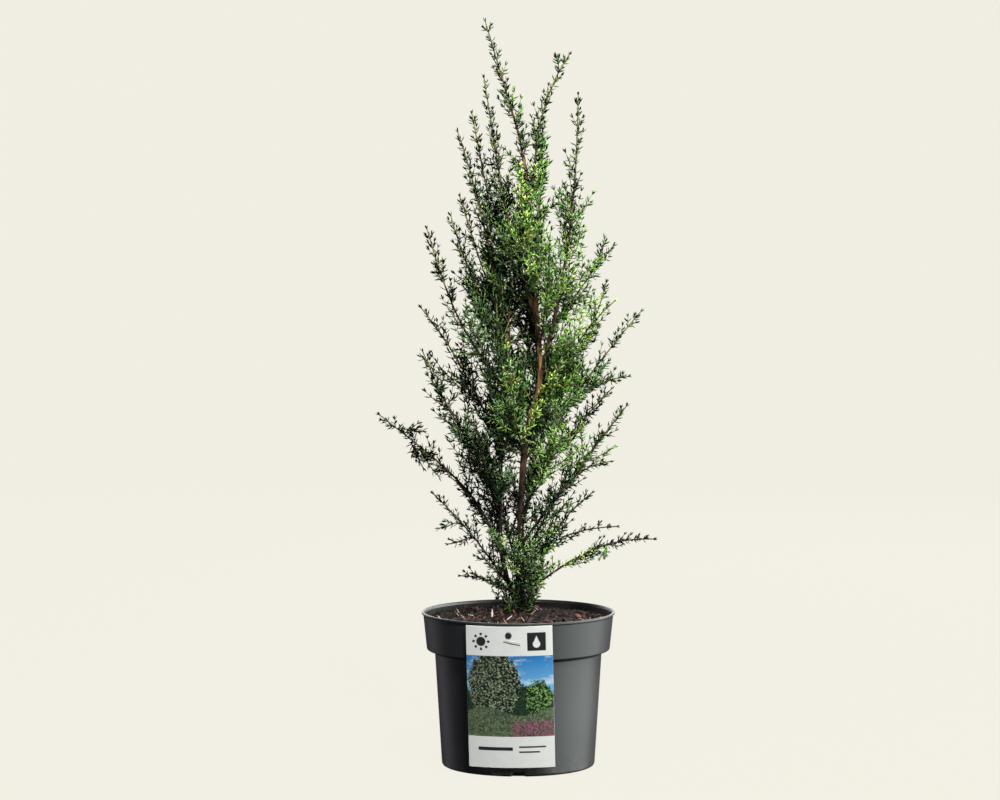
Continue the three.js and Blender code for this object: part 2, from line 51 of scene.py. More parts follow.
class Tree:
    """Adds nodes to a tree. node gives the new node, and the other calls give its output."""

    def __init__(self, tree):
        self.tree = tree

    def node(self, kind, inputs=(), **settings):
        made = self.tree.nodes.new(kind)
        for name, value in settings.items():
            setattr(made, name, value)
        for key, value in dict(inputs).items():
            self.feed(made.inputs[key], value)
        return made

    def feed(self, socket, value):
        """Links a value that is another node's output, and sets any other."""
        if isinstance(value, bpy.types.NodeSocket):
            self.tree.links.new(value, socket)
        else:
            socket.default_value = value

    def math(self, operation, *values):
        return self.node("ShaderNodeMath", enumerate(values), operation=operation).outputs[0]

    def vector(self, operation, first, second):
        made = self.node("ShaderNodeVectorMath", {0: first, 1: second}, operation=operation)
        return made.outputs[1 if operation == "DISTANCE" else 0]

    def stretch(self, vector, factors):
        return self.vector("MULTIPLY", vector, factors)

    def parts(self, vector):
        """The three numbers of a vector."""
        return self.node("ShaderNodeSeparateXYZ", {0: vector}).outputs

    def blend(self, share, first, second):
        """A colour between two, each given as a code or as another call's output."""
        first, second = (colour(one) if isinstance(one, str) else one for one in (first, second))
        return self.node("ShaderNodeMix", {0: share, 6: first, 7: second}, data_type="RGBA").outputs[2]

    def between(self, value, low, high, new_low=0.0, new_high=1.0):
        """Carries low to high over to new_low to new_high, and stops at either end."""
        inputs = {0: value, 1: low, 2: high, 3: new_low, 4: new_high}
        return self.node("ShaderNodeMapRange", inputs).outputs[0]

    def noise(self, vector, scale, detail=3.0, roughness=0.5):
        inputs = {"Vector": vector, "Scale": scale, "Detail": detail, "Roughness": roughness}
        return self.node("ShaderNodeTexNoise", inputs).outputs[0]


def colour(code):
    """A linear colour with full alpha, from a six-digit screen colour."""
    shares = [int(code[i : i + 2], 16) / 255 for i in (1, 3, 5)]
    linear = [c / 12.92 if c <= 0.04045 else ((c + 0.055) / 1.055) ** 2.4 for c in shares]
    return (*linear, 1.0)


# Finishes


class Finish(Tree):
    """The node tree of a material with one Principled shader. place is the piece's own coordinates."""

    def __init__(self, name, **shader_values):
        self.material = bpy.data.materials.new(name)
        self.material.use_nodes = True
        super().__init__(self.material.node_tree)
        self.shader = self.tree.nodes["Principled BSDF"]
        for key, value in shader_values.items():
            self.shader.inputs[key.replace("_", " ").title().replace("Ior", "IOR")].default_value = value
        self.place = self.node("ShaderNodeTexCoord").outputs["Object"]

    def dealt(self, name):
        """The number that each needle, chip or twig was dealt under a name."""
        return self.node("ShaderNodeAttribute", attribute_name=name).outputs["Fac"]

    def roughen(self, grain, low, high, start=0.3, end=0.7):
        """Roughness from low to high, as the grain runs from start to end."""
        self.feed(self.shader.inputs["Roughness"], self.between(grain, start, end, low, high))

    def relief(self, grain, strength, depth):
        """Fine bumps where the grain rises, with their depth in mm."""
        bump = self.node("ShaderNodeBump", {"Height": grain, "Strength": strength, "Distance": depth * MM})
        self.feed(self.shader.inputs["Normal"], bump.outputs[0])

    def paint(self, base):
        """Gives the finished material its base colour."""
        self.feed(self.shader.inputs["Base Color"], base)
        return self.material


def needle_finish(name, shade, light, band):
    """Needles from shade to light by chance, with a paler band on their upper side."""
    finish = Finish(name, roughness=0.45, specular_ior_level=0.05)
    drift = finish.noise(finish.place, scale=60)
    luck = finish.math("ADD", finish.dealt("chance"), drift)
    green = finish.blend(finish.between(luck, low=0.82, high=1.38), shade, light)
    upper = finish.math("MULTIPLY", finish.dealt("upper"), 0.5)
    return finish.paint(finish.blend(upper, green, band))


# Barks: dark and light fibres, edges of flakes, the warm colour higher up, grain, and a twig's young green
BARKS = {
    "stem_bark": ("#0b0706", "#2a1a14", "#42302a", "#967048", 420, None),
    "bough_bark": ("#0b0706", "#2a1a14", "#42302a", "#54382a", 420, None),
    "limb_bark": ("#120b08", "#35221a", "#4a3026", "#5c3c2a", 700, "#64713a"),
    "shoot_bark": ("#1c130d", "#40301f", "#4c3a28", "#7d5a34", 900, "#7f9a44"),
}
# Heights in metres between which bark turns warm
WARMER = (0.27, 0.4)


def bark_finish(name):
    """Fibrous bark: streaks up the stem, pale edges of flakes and a fine relief.

    It is dark low on the plant and turns warm higher up. A twig turns green where it is dealt "fresh".
    """
    dark, light, flake, warm, grain, young = BARKS[name]
    finish = Finish(name, specular_ior_level=0.25)
    along = finish.stretch(finish.place, (1, 1, 0.16))
    streaks = finish.noise(along, scale=grain, detail=5, roughness=0.65)
    patches = finish.noise(finish.stretch(finish.place, (1, 1, 0.4)), scale=grain / 5)
    wood = finish.blend(finish.between(streaks, low=0.36, high=0.66), dark, light)
    wood = finish.blend(finish.between(patches, low=0.54, high=0.66), wood, flake)
    height = finish.between(finish.parts(finish.place)[2], *WARMER)
    warmth = finish.math("MULTIPLY", height, finish.between(streaks, low=0.4, high=0.6, new_low=0.12))
    wood = finish.blend(warmth, wood, warm)
    if young:
        wood = finish.blend(finish.dealt("fresh"), wood, young)
    finish.roughen(streaks, low=0.6, high=0.92)
    finish.relief(streaks, strength=0.6, depth=0.4)
    return finish.paint(wood)


def pot_finish():
    """Satin moulded plastic with a fine grain, faint flow marks and a little dust near the foot."""
    finish = Finish("pot_plastic", specular_ior_level=0.5)
    flow = finish.noise(finish.stretch(finish.place, (1, 1, 0.3)), scale=22, detail=4)
    height = finish.parts(finish.place)[2]
    near_foot = finish.between(height, low=0.0, high=30 * MM, new_low=1.0, new_high=0.0)
    specks = finish.noise(finish.place, scale=90, detail=5, roughness=0.7)
    dust = finish.math("MULTIPLY", near_foot, finish.between(specks, low=0.5, high=0.75, new_high=0.35))
    plastic = finish.blend(finish.between(flow, low=0.3, high=0.7), "#1c1d1f", "#242628")
    finish.roughen(flow, low=0.36, high=0.46, start=0.25, end=0.75)
    finish.relief(finish.noise(finish.place, scale=2600, detail=2), strength=0.25, depth=0.06)
    return finish.paint(finish.blend(dust, plastic, "#6f675d"))


def inside_finish():
    """The pot's plastic inside the rim, dulled by damp soil."""
    finish = Finish("pot_inside", specular_ior_level=0.2)
    smears = finish.noise(finish.stretch(finish.place, (1, 1, 0.5)), scale=60, detail=5, roughness=0.7)
    finish.roughen(smears, low=0.6, high=0.85)
    return finish.paint(finish.blend(smears, "#0c0c0d", "#211d1b"))


def peat_finish():
    """Dark damp peat between the chips."""
    finish = Finish("peat", specular_ior_level=0.2)
    crumbs = finish.noise(finish.place, scale=700, detail=6, roughness=0.7)
    finish.roughen(crumbs, low=0.75, high=0.98)
    finish.relief(crumbs, strength=0.8, depth=0.8)
    return finish.paint(finish.blend(crumbs, "#040302", "#150f0d"))


def chip_finish(name, dark, light):
    """Bark mulch: each chip from dark to light by chance, with fibres."""
    finish = Finish(name, specular_ior_level=0.3)
    fibres = finish.noise(finish.place, scale=900, detail=4, roughness=0.7)
    luck = finish.math("ADD", finish.dealt("chance"), fibres)
    finish.roughen(fibres, low=0.55, high=0.9)
    finish.relief(fibres, strength=0.5, depth=0.4)
    return finish.paint(finish.blend(finish.between(luck, low=0.4, high=1.5), dark, light))


def plain_card_finish(name, shade):
    """White label plastic with a faint mottle."""
    finish = Finish(name, roughness=0.38, specular_ior_level=0.45)
    return finish.paint(finish.blend(finish.noise(finish.place, scale=120), shade, "#dde1df"))


def stud_finish():
    """Black moulded plastic."""
    finish = Finish("stud_plastic", specular_ior_level=0.5)
    grain = finish.noise(finish.place, scale=900, detail=2)
    finish.roughen(grain, low=0.35, high=0.5)
    return finish.paint(finish.blend(grain, "#0c0d0e", "#1b1d1f"))


def floor_finish():
    """Pale studio paper, lifted by its own light so that it shows no line at the horizon."""
    glow = {"emission_color": colour(STUDIO["paper"]), "emission_strength": STUDIO["paper_glow"]}
    finish = Finish("studio_paper", roughness=0.9, specular_ior_level=0.0, **glow)
    mottle = finish.noise(finish.place, scale=3, detail=2)
    return finish.paint(finish.blend(mottle, *STUDIO["paper_shades"]))


# The printed face of the card. Its map and its sizes are in millimetres from the card's top left.

CARD = {
    "width": 84.5,
    "height": 140.0,
    "thick": 0.6,
    "top": 149.0,
    "bend_radius": 150.0,
    "off_centre": -10.0,
    "tilt": 0.7,
    "head": 29.0,
    "picture": 80.0,
    "bevel": 0.12,
    "columns": 34,
    "rows": 56,
}
# The garden picture: lines down the card, how ragged their edges are, and the drift of flowers
GARDEN = {
    "sky_foot": 75,
    "hedge": 62,
    "hedge_ragged": 20,
    "lawn": 84,
    "lawn_ragged": 8,
    "wave": 4,
    "wave_pace": 0.09,
    "shrub_ragged": 22,
    "shrub_squat": 0.8,
    "flowers_left": (40, 50),
    "flowers_top": (91, 97),
}
# Rounded shrubs: middle, radius, dark and light leaves
SHRUBS = [((27, 57), 26, "#060b0a", "#90a484"), ((70, 70), 13, "#0a180c", "#7ca85c")]
# Care signs: the sun with its ring of rays, and the tile with the drop
SIGNS = {
    "sun": (15, 15),
    "sun_radius": 4.6,
    "rays": 8,
    "ray_ring": (6.0, 8.6),
    "tile_across": (60, 78),
    "tile_down": (6, 24),
    "drop": (69, 17.4),
    "drop_radius": 3.6,
    "drop_point": (9, 17),
    "drop_slope": 0.42,
}
# Plain bars: left, right, distance below the picture, and height
BARS = [(10, 44, 10.5, 3.4), (50, 76, 9.5, 1.6), (50, 70, 14.5, 1.6)]


def disc(tree, spot, centre, radius, soft=0.25):
    """1 inside a circle on the card and 0 outside."""
    away = tree.vector("DISTANCE", spot, (*centre, 0))
    return tree.between(away, radius - soft, radius + soft, new_low=1.0, new_high=0.0)


def strip(tree, value, low, high, soft=0.2):
    """1 where a coordinate lies between low and high."""
    after = tree.between(value, low - soft, low + soft)
    before = tree.between(value, high - soft, high + soft, new_low=1.0, new_high=0.0)
    return tree.math("MULTIPLY", after, before)


def garden_picture(tree, spot, across, down):
    """A generic garden: open sky, a far hedge, two rounded shrubs and a drift of flowers."""
    ragged = tree.noise(spot, scale=0.22, detail=6, roughness=0.75)
    cells = tree.node("ShaderNodeTexVoronoi", {"Vector": spot, "Scale": 0.9}).outputs["Color"]
    leaf = tree.node("ShaderNodeSeparateColor", {0: cells}).outputs[0]

    def torn(line, depth):
        """A line or a distance with a ragged edge."""
        return tree.math("ADD", line, tree.math("MULTIPLY", tree.math("SUBTRACT", ragged, 0.5), depth))

    def over(picture, line, depth, dark, light):
        """Lays leafy ground over the picture below a line."""
        share = tree.between(tree.math("SUBTRACT", down, torn(line, depth)), low=-0.4, high=0.4)
        return tree.blend(share, picture, tree.blend(tree.math("MULTIPLY", leaf, ragged), dark, light))

    def shrub(picture, centre, radius, dark, light):
        """Lays a rounded shrub over the picture."""
        squat = (1, GARDEN["shrub_squat"], 1)
        middle = (centre[0], centre[1] * GARDEN["shrub_squat"], 0)
        edge = torn(tree.vector("DISTANCE", tree.stretch(spot, squat), middle), GARDEN["shrub_ragged"])
        share = tree.between(edge, radius - 0.5, radius + 0.5, new_low=1.0, new_high=0.0)
        return tree.blend(share, picture, tree.blend(tree.between(leaf, low=0.55, high=1.0), dark, light))

    drift = tree.stretch(spot, (0.6, 1.4, 1))
    clouds = tree.between(tree.noise(drift, scale=0.06, detail=5, roughness=0.6), low=0.5, high=0.7)
    picture = tree.blend(tree.between(down, CARD["head"], GARDEN["sky_foot"]), "#1868a8", "#6fb0d4")
    picture = tree.blend(clouds, picture, "#c8d6dc")
    wave = tree.math("SINE", tree.math("MULTIPLY", across, GARDEN["wave_pace"]))
    wave = tree.math("MULTIPLY", wave, GARDEN["wave"])
    hedge = tree.math("ADD", GARDEN["hedge"], wave)
    picture = over(picture, hedge, GARDEN["hedge_ragged"], "#060c08", "#35583a")
    for row in SHRUBS:
        picture = shrub(picture, *row)
    lawn = tree.math("SUBTRACT", GARDEN["lawn"], wave)
    picture = over(picture, lawn, GARDEN["lawn_ragged"], "#1a2c1c", "#8c9e7c")
    blooms = tree.between(leaf, low=0.45, high=0.5)
    blooms = tree.math("MULTIPLY", blooms, tree.between(across, *GARDEN["flowers_left"]))
    blooms = tree.math("MULTIPLY", blooms, tree.between(down, *GARDEN["flowers_top"]))
    return tree.blend(blooms, picture, "#864c68")


def sun_sign(tree, spot):
    """A disc with short rays round it."""
    centre = (*SIGNS["sun"], 0)
    legs = tree.parts(tree.vector("SUBTRACT", spot, centre))
    turn = tree.math("MULTIPLY", tree.math("ARCTAN2", legs[1], legs[0]), SIGNS["rays"])
    rays = tree.between(tree.math("COSINE", turn), low=0.2, high=0.45)
    ring = strip(tree, tree.vector("DISTANCE", spot, centre), *SIGNS["ray_ring"])
    rays = tree.math("MULTIPLY", rays, ring)
    return tree.math("MAXIMUM", disc(tree, spot, SIGNS["sun"], SIGNS["sun_radius"]), rays)


def drop_sign(tree, spot, across, down):
    """A square tile with a drop left out of it."""
    tile = strip(tree, across, *SIGNS["tile_across"])
    tile = tree.math("MULTIPLY", tile, strip(tree, down, *SIGNS["tile_down"]))
    drop = disc(tree, spot, SIGNS["drop"], SIGNS["drop_radius"])
    beside = tree.math("ABSOLUTE", tree.math("SUBTRACT", across, SIGNS["drop"][0]))
    below = tree.math("SUBTRACT", down, SIGNS["drop_point"][0])
    cone = tree.math("SUBTRACT", tree.math("MULTIPLY", below, SIGNS["drop_slope"]), beside)
    cone = tree.between(cone, low=-0.15, high=0.15)
    cone = tree.math("MULTIPLY", cone, strip(tree, down, *SIGNS["drop_point"]))
    return tree.math("SUBTRACT", tile, tree.math("MAXIMUM", drop, cone))


def print_finish():
    """White card with a garden picture across its middle and plain care signs above and below."""
    finish = Finish("label_print", roughness=0.33, specular_ior_level=0.5)
    spot = finish.node("ShaderNodeUVMap", uv_map="card").outputs[0]
    spot = finish.stretch(spot, (CARD["width"], CARD["height"], 1))
    across, down, _ = finish.parts(spot)
    signs = finish.math("MAXIMUM", sun_sign(finish, spot), drop_sign(finish, spot, across, down))
    foot = CARD["head"] + CARD["picture"]
    for left, right, below, height in BARS:
        bar = strip(finish, down, foot + below, foot + below + height)
        bar = finish.math("MULTIPLY", bar, strip(finish, across, left, right))
        signs = finish.math("MAXIMUM", signs, bar)
    card = finish.blend(finish.noise(spot, scale=0.1), "#c3c9c8", "#cfd4d2")
    card = finish.blend(signs, card, "#1d2022")
    window = strip(finish, down, CARD["head"], foot, 0.1)
    return finish.paint(finish.blend(window, card, garden_picture(finish, spot, across, down)))


# Studio: floor, light and camera

# Metres: the radius of the level floor and of its sweep, and the wall's height
STUDIO = {
    "paper": "#f1eee3",
    "paper_shades": ("#141312", "#131211"),
    "paper_glow": 0.992,
    "level": 3.2,
    "sweep": 1.2,
    "sweep_steps": 12,
    "wall": 4.6,
    "sides": 72,
    "air": "#f1efe6",
    "air_glow": 0.03,
}
VIEW = {"place": (-0.018, -3.5, 0.606), "pitch_down": 4.016, "lens": 128.8, "film": 36.0, "far": 50}
# Each lamp: place, aim, width, height, power and colour
LIGHTS = {
    "key": ((0.5, -1.7, 1.9), (0.0, 0.0, 0.35), 0.35, 0.35, 96, "#fffaf4"),
    "fill": ((-1.3, -2.2, 0.6), (0.0, 0.0, 0.1), 0.4, 0.4, 12, "#f6faff"),
    "side": ((1.7, 0.2, 0.5), (0.0, 0.0, 0.15), 2.6, 0.9, 52, "#fcfdf6"),
    "gloss": ((1.6, -0.5, -0.3), (0.0, -0.5, -0.3), 3.1, 1.6, 42, "#f0fbf8"),
    "top": ((0.1, -0.35, 2.1), (0.0, 0.0, 0.3), 0.5, 0.5, 50, "#f8fbff"),
    "rim": ((-1.5, 1.3, -0.2), (0.0, 1.3, -0.2), 1.4, 1.6, 3, "#f6f2ff"),
    "back": ((0.0, 1.35, 0.5), (0.0, 0.0, 0.2), 3.0, 0.8, 24, "#ffffff"),
    "behind": ((0.7, 2.3, 1.3), (0.0, 0.0, 0.35), 0.6, 0.6, 75, "#fbfcff"),
}
# Lamps that only show as a gleam on gloss, and one without a gleam that shows the crown's back
GLOSS_ONLY = ("gloss", "rim", "back")
NO_GLEAM = ("behind",)


def make_floor():
    """A pale floor that sweeps up into a wall all round the plant and its camera."""
    level, sweep, steps, sides = (STUDIO[key] for key in ("level", "sweep", "sweep_steps", "sides"))
    turns = [math.pi / 2 * i / steps for i in range(steps + 1)]
    profile = [(level + sweep * math.sin(turn), sweep * (1 - math.cos(turn))) for turn in turns]
    profile.append((level + sweep, STUDIO["wall"]))
    faces = [tuple(range(sides)), *ring_faces(len(profile), sides)]
    floor = plain_object("studio_floor", ring_points(profile, sides), faces, floor_finish())
    floor.visible_diffuse = False
    floor.visible_glossy = False
    floor.visible_shadow = False


def aim_at(place, target):
    """A turn that points an object's -Z axis from place to target, with its top up."""
    return (Vector(target) - Vector(place)).to_track_quat("-Z", "Y").to_euler()


def make_lights():
    for name, (place, target, width, height, power, tint) in LIGHTS.items():
        lamp = bpy.data.lights.new(name, "AREA")
        lamp.shape = "RECTANGLE"
        lamp.size = width
        lamp.size_y = height
        lamp.energy = power
        lamp.color = colour(tint)[:3]
        held = bpy.data.objects.new(name, lamp)
        held.location = place
        held.rotation_euler = aim_at(place, target)
        held.visible_camera = False
        held.visible_diffuse = name not in GLOSS_ONLY
        held.visible_glossy = name not in NO_GLEAM
        bpy.context.scene.collection.objects.link(held)
    world = bpy.data.worlds.new("studio_air")
    world.use_nodes = True
    background = world.node_tree.nodes["Background"]
    background.inputs["Color"].default_value = colour(STUDIO["air"])
    background.inputs["Strength"].default_value = STUDIO["air_glow"]
    bpy.context.scene.world = world


def make_camera():
    lens = bpy.data.cameras.new("camera")
    lens.lens = VIEW["lens"]
    lens.sensor_width = VIEW["film"]
    lens.clip_end = VIEW["far"]
    camera = bpy.data.objects.new("camera", lens)
    camera.location = VIEW["place"]
    camera.rotation_euler = (math.radians(90 - VIEW["pitch_down"]), 0, 0)
    bpy.context.scene.collection.objects.link(camera)
    bpy.context.scene.camera = camera


# Meshes


def plain_object(name, corners, faces, *finishes, edges=()):
    """An object at the origin, from corners in metres."""
    mesh = bpy.data.meshes.new(name)
    mesh.from_pydata([tuple(corner) for corner in corners], list(edges), list(faces))
    for made in finishes:
        mesh.materials.append(made)
    mesh.validate()
    mesh.update()
    made = bpy.data.objects.new(name, mesh)
    bpy.context.scene.collection.objects.link(made)
    return made


def smooth(made, sharp_over=40):
    """Shades an object smooth, except at edges sharper than the angle."""
    made.data.shade_smooth()
    made.data.set_sharp_from_angle(angle=math.radians(sharp_over))
    return made


def keep(made, slot, *nodes):
    """The piece rides on the plant and stands for the named solids, which it hides. slot is not used."""
    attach(made, "root")
    if nodes:
        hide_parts(*nodes)
    return made


def ring_points(rows, sides):
    """The points of [radius, height] rows turned about the Z axis, row by row."""
    turns = [2 * math.pi * k / sides for k in range(sides)]
    return [Vector((r * math.cos(turn), r * math.sin(turn), h)) for r, h in rows for turn in turns]


def ring_faces(rows, sides, first=0, flipped=False):
    """The faces between rows of ring points, which point outwards where the rows go up."""
    faces = []
    for start in range(first, first + (rows - 1) * sides, sides):
        for k in range(sides):
            here, there = start + k, start + (k + 1) % sides
            face = (here, there, there + sides, here + sides)
            faces.append((face[0], *face[:0:-1]) if flipped else face)
    return faces


def turned(name, profile, sides, finish, lift=None):
    """A body turned about the Z axis, from [radius, height] points that start and end on the axis.

    lift may raise some of its points: it takes a point and gives its height.
    """
    rings = ring_points(profile[1:-1], sides)
    for corner in rings if lift else ():
        corner.z = lift(corner)
    corners = [Vector((0, 0, profile[0][1])), *rings, Vector((0, 0, profile[-1][1]))]
    top = len(corners) - 1
    faces = ring_faces(len(profile) - 2, sides, 1)
    for k in range(sides):
        after = (k + 1) % sides
        faces.append((0, 1 + after, 1 + k))
        faces.append((top - sides + k, top - sides + after, top))
    return smooth(plain_object(name, [corner * MM for corner in corners], faces, finish))


def rounded(rows, steps=4):
    """A profile of [radius, height, fillet] rows with each filleted corner turned into an arc."""
    made = []
    for i, (radius, height, fillet) in enumerate(rows):
        corner = Vector((radius, height))
        if not fillet:
            made.append(tuple(corner))
            continue
        before = Vector(rows[i - 1][:2]) - corner
        after = Vector(rows[i + 1][:2]) - corner
        reach = min(fillet, before.length / 2, after.length / 2)
        start = corner + before.normalized() * reach
        end = corner + after.normalized() * reach
        for k in range(steps + 1):
            share = k / steps
            made.append(tuple(start.lerp(corner, share).lerp(corner.lerp(end, share), share)))
    return made


# Geometry Nodes trees


class Growth(Tree):
    """A Geometry Nodes tree with named inputs. given holds their sockets."""

    def __init__(self, name, **inputs):
        group = bpy.data.node_groups.new(name, "GeometryNodeTree")
        for way in ("INPUT", "OUTPUT"):
            group.interface.new_socket("Geometry", in_out=way, socket_type="NodeSocketGeometry")
        for label, kind in inputs.items():
            group.interface.new_socket(label, in_out="INPUT", socket_type=f"NodeSocket{kind}")
        super().__init__(group)
        self.given = self.node("NodeGroupInput").outputs

    def lines(self):
        """The lines that the tree is run on."""
        return self.node("GeometryNodeMeshToCurve", {0: self.given["Geometry"]}).outputs[0]

    def stored(self, name):
        """The number that each point of the lines holds under a name."""
        return self.node("GeometryNodeInputNamedAttribute", {"Name": name}).outputs[0]

    def chance(self, low, high, use):
        """A random number for each point, or a random vector where low and high are vectors."""
        kind, first, out = ("FLOAT_VECTOR", 0, 0) if isinstance(low, tuple) else ("FLOAT", 2, 1)
        inputs = {first: low, first + 1: high, "Seed": self.math("ADD", self.given["Seed"], use)}
        return self.node("FunctionNodeRandomValue", inputs, data_type=kind).outputs[out]

    def copies(self, points, thing, rotation, scale):
        """Ends the tree with a copy of a given thing on each point, dealt a chance for its colour."""
        dealt = {0: points, "Name": "chance", "Value": self.chance(0.0, 1.0, 5)}
        points = self.node("GeometryNodeStoreNamedAttribute", dealt).outputs[0]
        copy = self.node("GeometryNodeObjectInfo", {0: self.given[thing]}).outputs["Geometry"]
        inputs = {"Points": points, "Instance": copy, "Rotation": rotation, "Scale": scale}
        return self.close(self.node("GeometryNodeInstanceOnPoints", inputs).outputs[0])

    def close(self, geometry):
        """Ends the tree with real meshes in the given material."""
        real = self.node("GeometryNodeRealizeInstances", {0: geometry}).outputs[0]
        smoothed = self.node("GeometryNodeSetShadeSmooth", {0: real}).outputs[0]
        painted = self.node("GeometryNodeSetMaterial", {0: smoothed, "Material": self.given["Material"]})
        self.node("NodeGroupOutput", {0: painted.outputs[0]})
        return self.tree


def grown(name, start, group, **values):
    """Runs a Geometry Nodes tree on a mesh object, and keeps the result as a plain mesh object."""
    sockets = {item.name: item.identifier for item in group.interface.items_tree if item.in_out == "INPUT"}
    modifier = start.modifiers.new("growth", "NODES")
    modifier.node_group = group
    for label, value in values.items():
        modifier[sockets[label]] = value
    start.update_tag()
    evaluated = start.evaluated_get(bpy.context.evaluated_depsgraph_get())
    mesh = bpy.data.meshes.new_from_object(evaluated)
    mesh.name = name
    start.modifiers.remove(modifier)
    bpy.data.objects.remove(start)
    made = bpy.data.objects.new(name, mesh)
    bpy.context.scene.collection.objects.link(made)
    return made


def tube_growth():
    """Round stems along lines: each point's girth is its radius, and the bark stands out by relief."""
    growth = Growth("stems along lines", Sides="Int", Relief="Float", Grain="Float", Material="Material")
    given = growth.given
    outline = growth.node("GeometryNodeCurvePrimitiveCircle", {"Resolution": given["Sides"], "Radius": 1.0})
    inputs = {"Curve": growth.lines(), "Profile Curve": outline.outputs[0], "Fill Caps": True}
    tubes = growth.node("GeometryNodeCurveToMesh", {**inputs, "Scale": growth.stored("girth")}).outputs[0]
    place = growth.node("GeometryNodeInputPosition").outputs[0]
    normal = growth.node("GeometryNodeInputNormal").outputs[0]
    along = growth.stretch(place, (1, 1, 0.2))
    fibres = growth.noise(along, scale=given["Grain"], detail=4, roughness=0.6)
    height = growth.math("MULTIPLY", growth.math("SUBTRACT", fibres, 0.5), given["Relief"])
    push = growth.node("ShaderNodeVectorMath", {0: normal, "Scale": height}, operation="SCALE").outputs[0]
    return growth.close(growth.node("GeometryNodeSetPosition", {0: tubes, "Offset": push}).outputs[0])


# How needles vary: their turn and roll to either side in radians, their spread and size where they close
# round a bud, and the width of the shortest
WHORL = {"turn": 0.28, "roll": 0.5, "bud_spread": 0.55, "bud_size": 0.75, "slimmest": 0.5}


def needle_growth():
    """Whorls of three needles: one at each point of the lines, each a sixth of a turn from the last."""
    numbers = dict.fromkeys(("Shortest", "Longest", "Narrow", "Wide"), "Float")
    growth = Growth("whorls of needles", Needle="Object", **numbers, Seed="Int", Material="Material")
    given = growth.given

    def turn_by(rotation, axis, angle):
        """Turns a rotation further about one of its own axes."""
        about = growth.node("ShaderNodeCombineXYZ", {axis: angle}).outputs[0]
        further = growth.node("FunctionNodeEulerToRotation", {0: about}).outputs[0]
        inputs = {0: rotation, 1: further}
        return growth.node("FunctionNodeRotateRotation", inputs, rotation_space="LOCAL").outputs[0]

    spots = growth.node("GeometryNodeCurveToPoints", {0: growth.lines()}, mode="EVALUATED")
    inputs = {0: spots.outputs[0], "Amount": 3}
    threes = growth.node("GeometryNodeDuplicateElements", inputs, domain="POINT").outputs
    third = growth.math("MULTIPLY", threes[1], 2 * math.pi / 3)
    about = growth.math("ADD", growth.stored("turn"), third)
    about = growth.math("ADD", about, growth.chance(-WHORL["turn"], WHORL["turn"], 1))
    closing = growth.stored("closing")
    spread = growth.chance(given["Narrow"], given["Wide"], 2)
    spread = growth.math("MULTIPLY", spread, growth.between(closing, 0, 1, 1.0, WHORL["bud_spread"]))
    rotation = turn_by(turn_by(spots.outputs["Rotation"], 2, about), 1, spread)
    rotation = turn_by(rotation, 2, growth.chance(-WHORL["roll"], WHORL["roll"], 3))
    size = growth.chance(given["Shortest"], given["Longest"], 4)
    size = growth.math("MULTIPLY", size, growth.between(closing, 0, 1, 1.0, WHORL["bud_size"]))
    size = growth.math("MULTIPLY", size, growth.stored("size"))
    width = growth.between(size, 0, 1, WHORL["slimmest"], 1.0)
    scale = growth.node("ShaderNodeCombineXYZ", {0: width, 1: width, 2: size}).outputs[0]
    return growth.copies(threes[0], "Needle", rotation, scale)


def chip_growth():
    """Chips scattered over a surface, lying nearly flat in every direction."""
    numbers = dict.fromkeys(("Apart", "Density", "Smallest", "Largest", "Tilt"), "Float")
    growth = Growth("scattered chips", Chip="Object", **numbers, Seed="Int", Material="Material")
    given = growth.given
    inputs = {0: given["Geometry"], "Distance Min": given["Apart"], "Density Max": given["Density"]}
    inputs["Seed"] = given["Seed"]
    spots = growth.node("GeometryNodeDistributePointsOnFaces", inputs, distribute_method="POISSON")
    tipped = growth.vector("MULTIPLY", growth.chance((-1, -1, 0), (1, 1, 0), 1), given["Tilt"])
    spun = growth.node("ShaderNodeCombineXYZ", {2: growth.chance(0.0, 2 * math.pi, 2)}).outputs[0]
    turn = growth.node("FunctionNodeEulerToRotation", {0: growth.vector("ADD", tipped, spun)}).outputs[0]
    even = growth.chance(given["Smallest"], given["Largest"], 3)
    uneven = growth.chance((0.7, 0.5, 0.5), (1.3, 1.2, 1.3), 4)
    return growth.copies(spots.outputs[0], "Chip", turn, growth.vector("MULTIPLY", uneven, even))


# Courses

COURSE_STEPS = 100
# How far to either side of a point its direction is read
COURSE_WINDOW = 1.5


class Course:
    """A line through space that can be read at any distance along it."""

    def __init__(self, points):
        self.points = points
        self.reach = [0.0]
        for before, after in zip(points, points[1:]):
            self.reach.append(self.reach[-1] + (after - before).length)
        self.length = self.reach[-1]

    def point(self, distance):
        """The place at a distance. Past either end the line runs straight on."""
        last = len(self.points) - 2
        i = 0
        while i < last and self.reach[i + 1] < distance:
            i += 1
        share = (distance - self.reach[i]) / (self.reach[i + 1] - self.reach[i])
        return self.points[i].lerp(self.points[i + 1], share)

    def aim(self, distance):
        """The way the line runs at a distance."""
        before = self.point(max(distance - COURSE_WINDOW, 0))
        after = self.point(min(distance + COURSE_WINDOW, self.length))
        return (after - before).normalized()

    def distance_at(self, height):
        """The distance at which the line first rises over a height."""
        i = max(next(k for k, point in enumerate(self.points) if point.z > height), 1)
        low, high = self.points[i - 1], self.points[i]
        share = (height - low.z) / (high.z - low.z)
        return self.reach[i - 1] + share * (self.reach[i] - self.reach[i - 1])


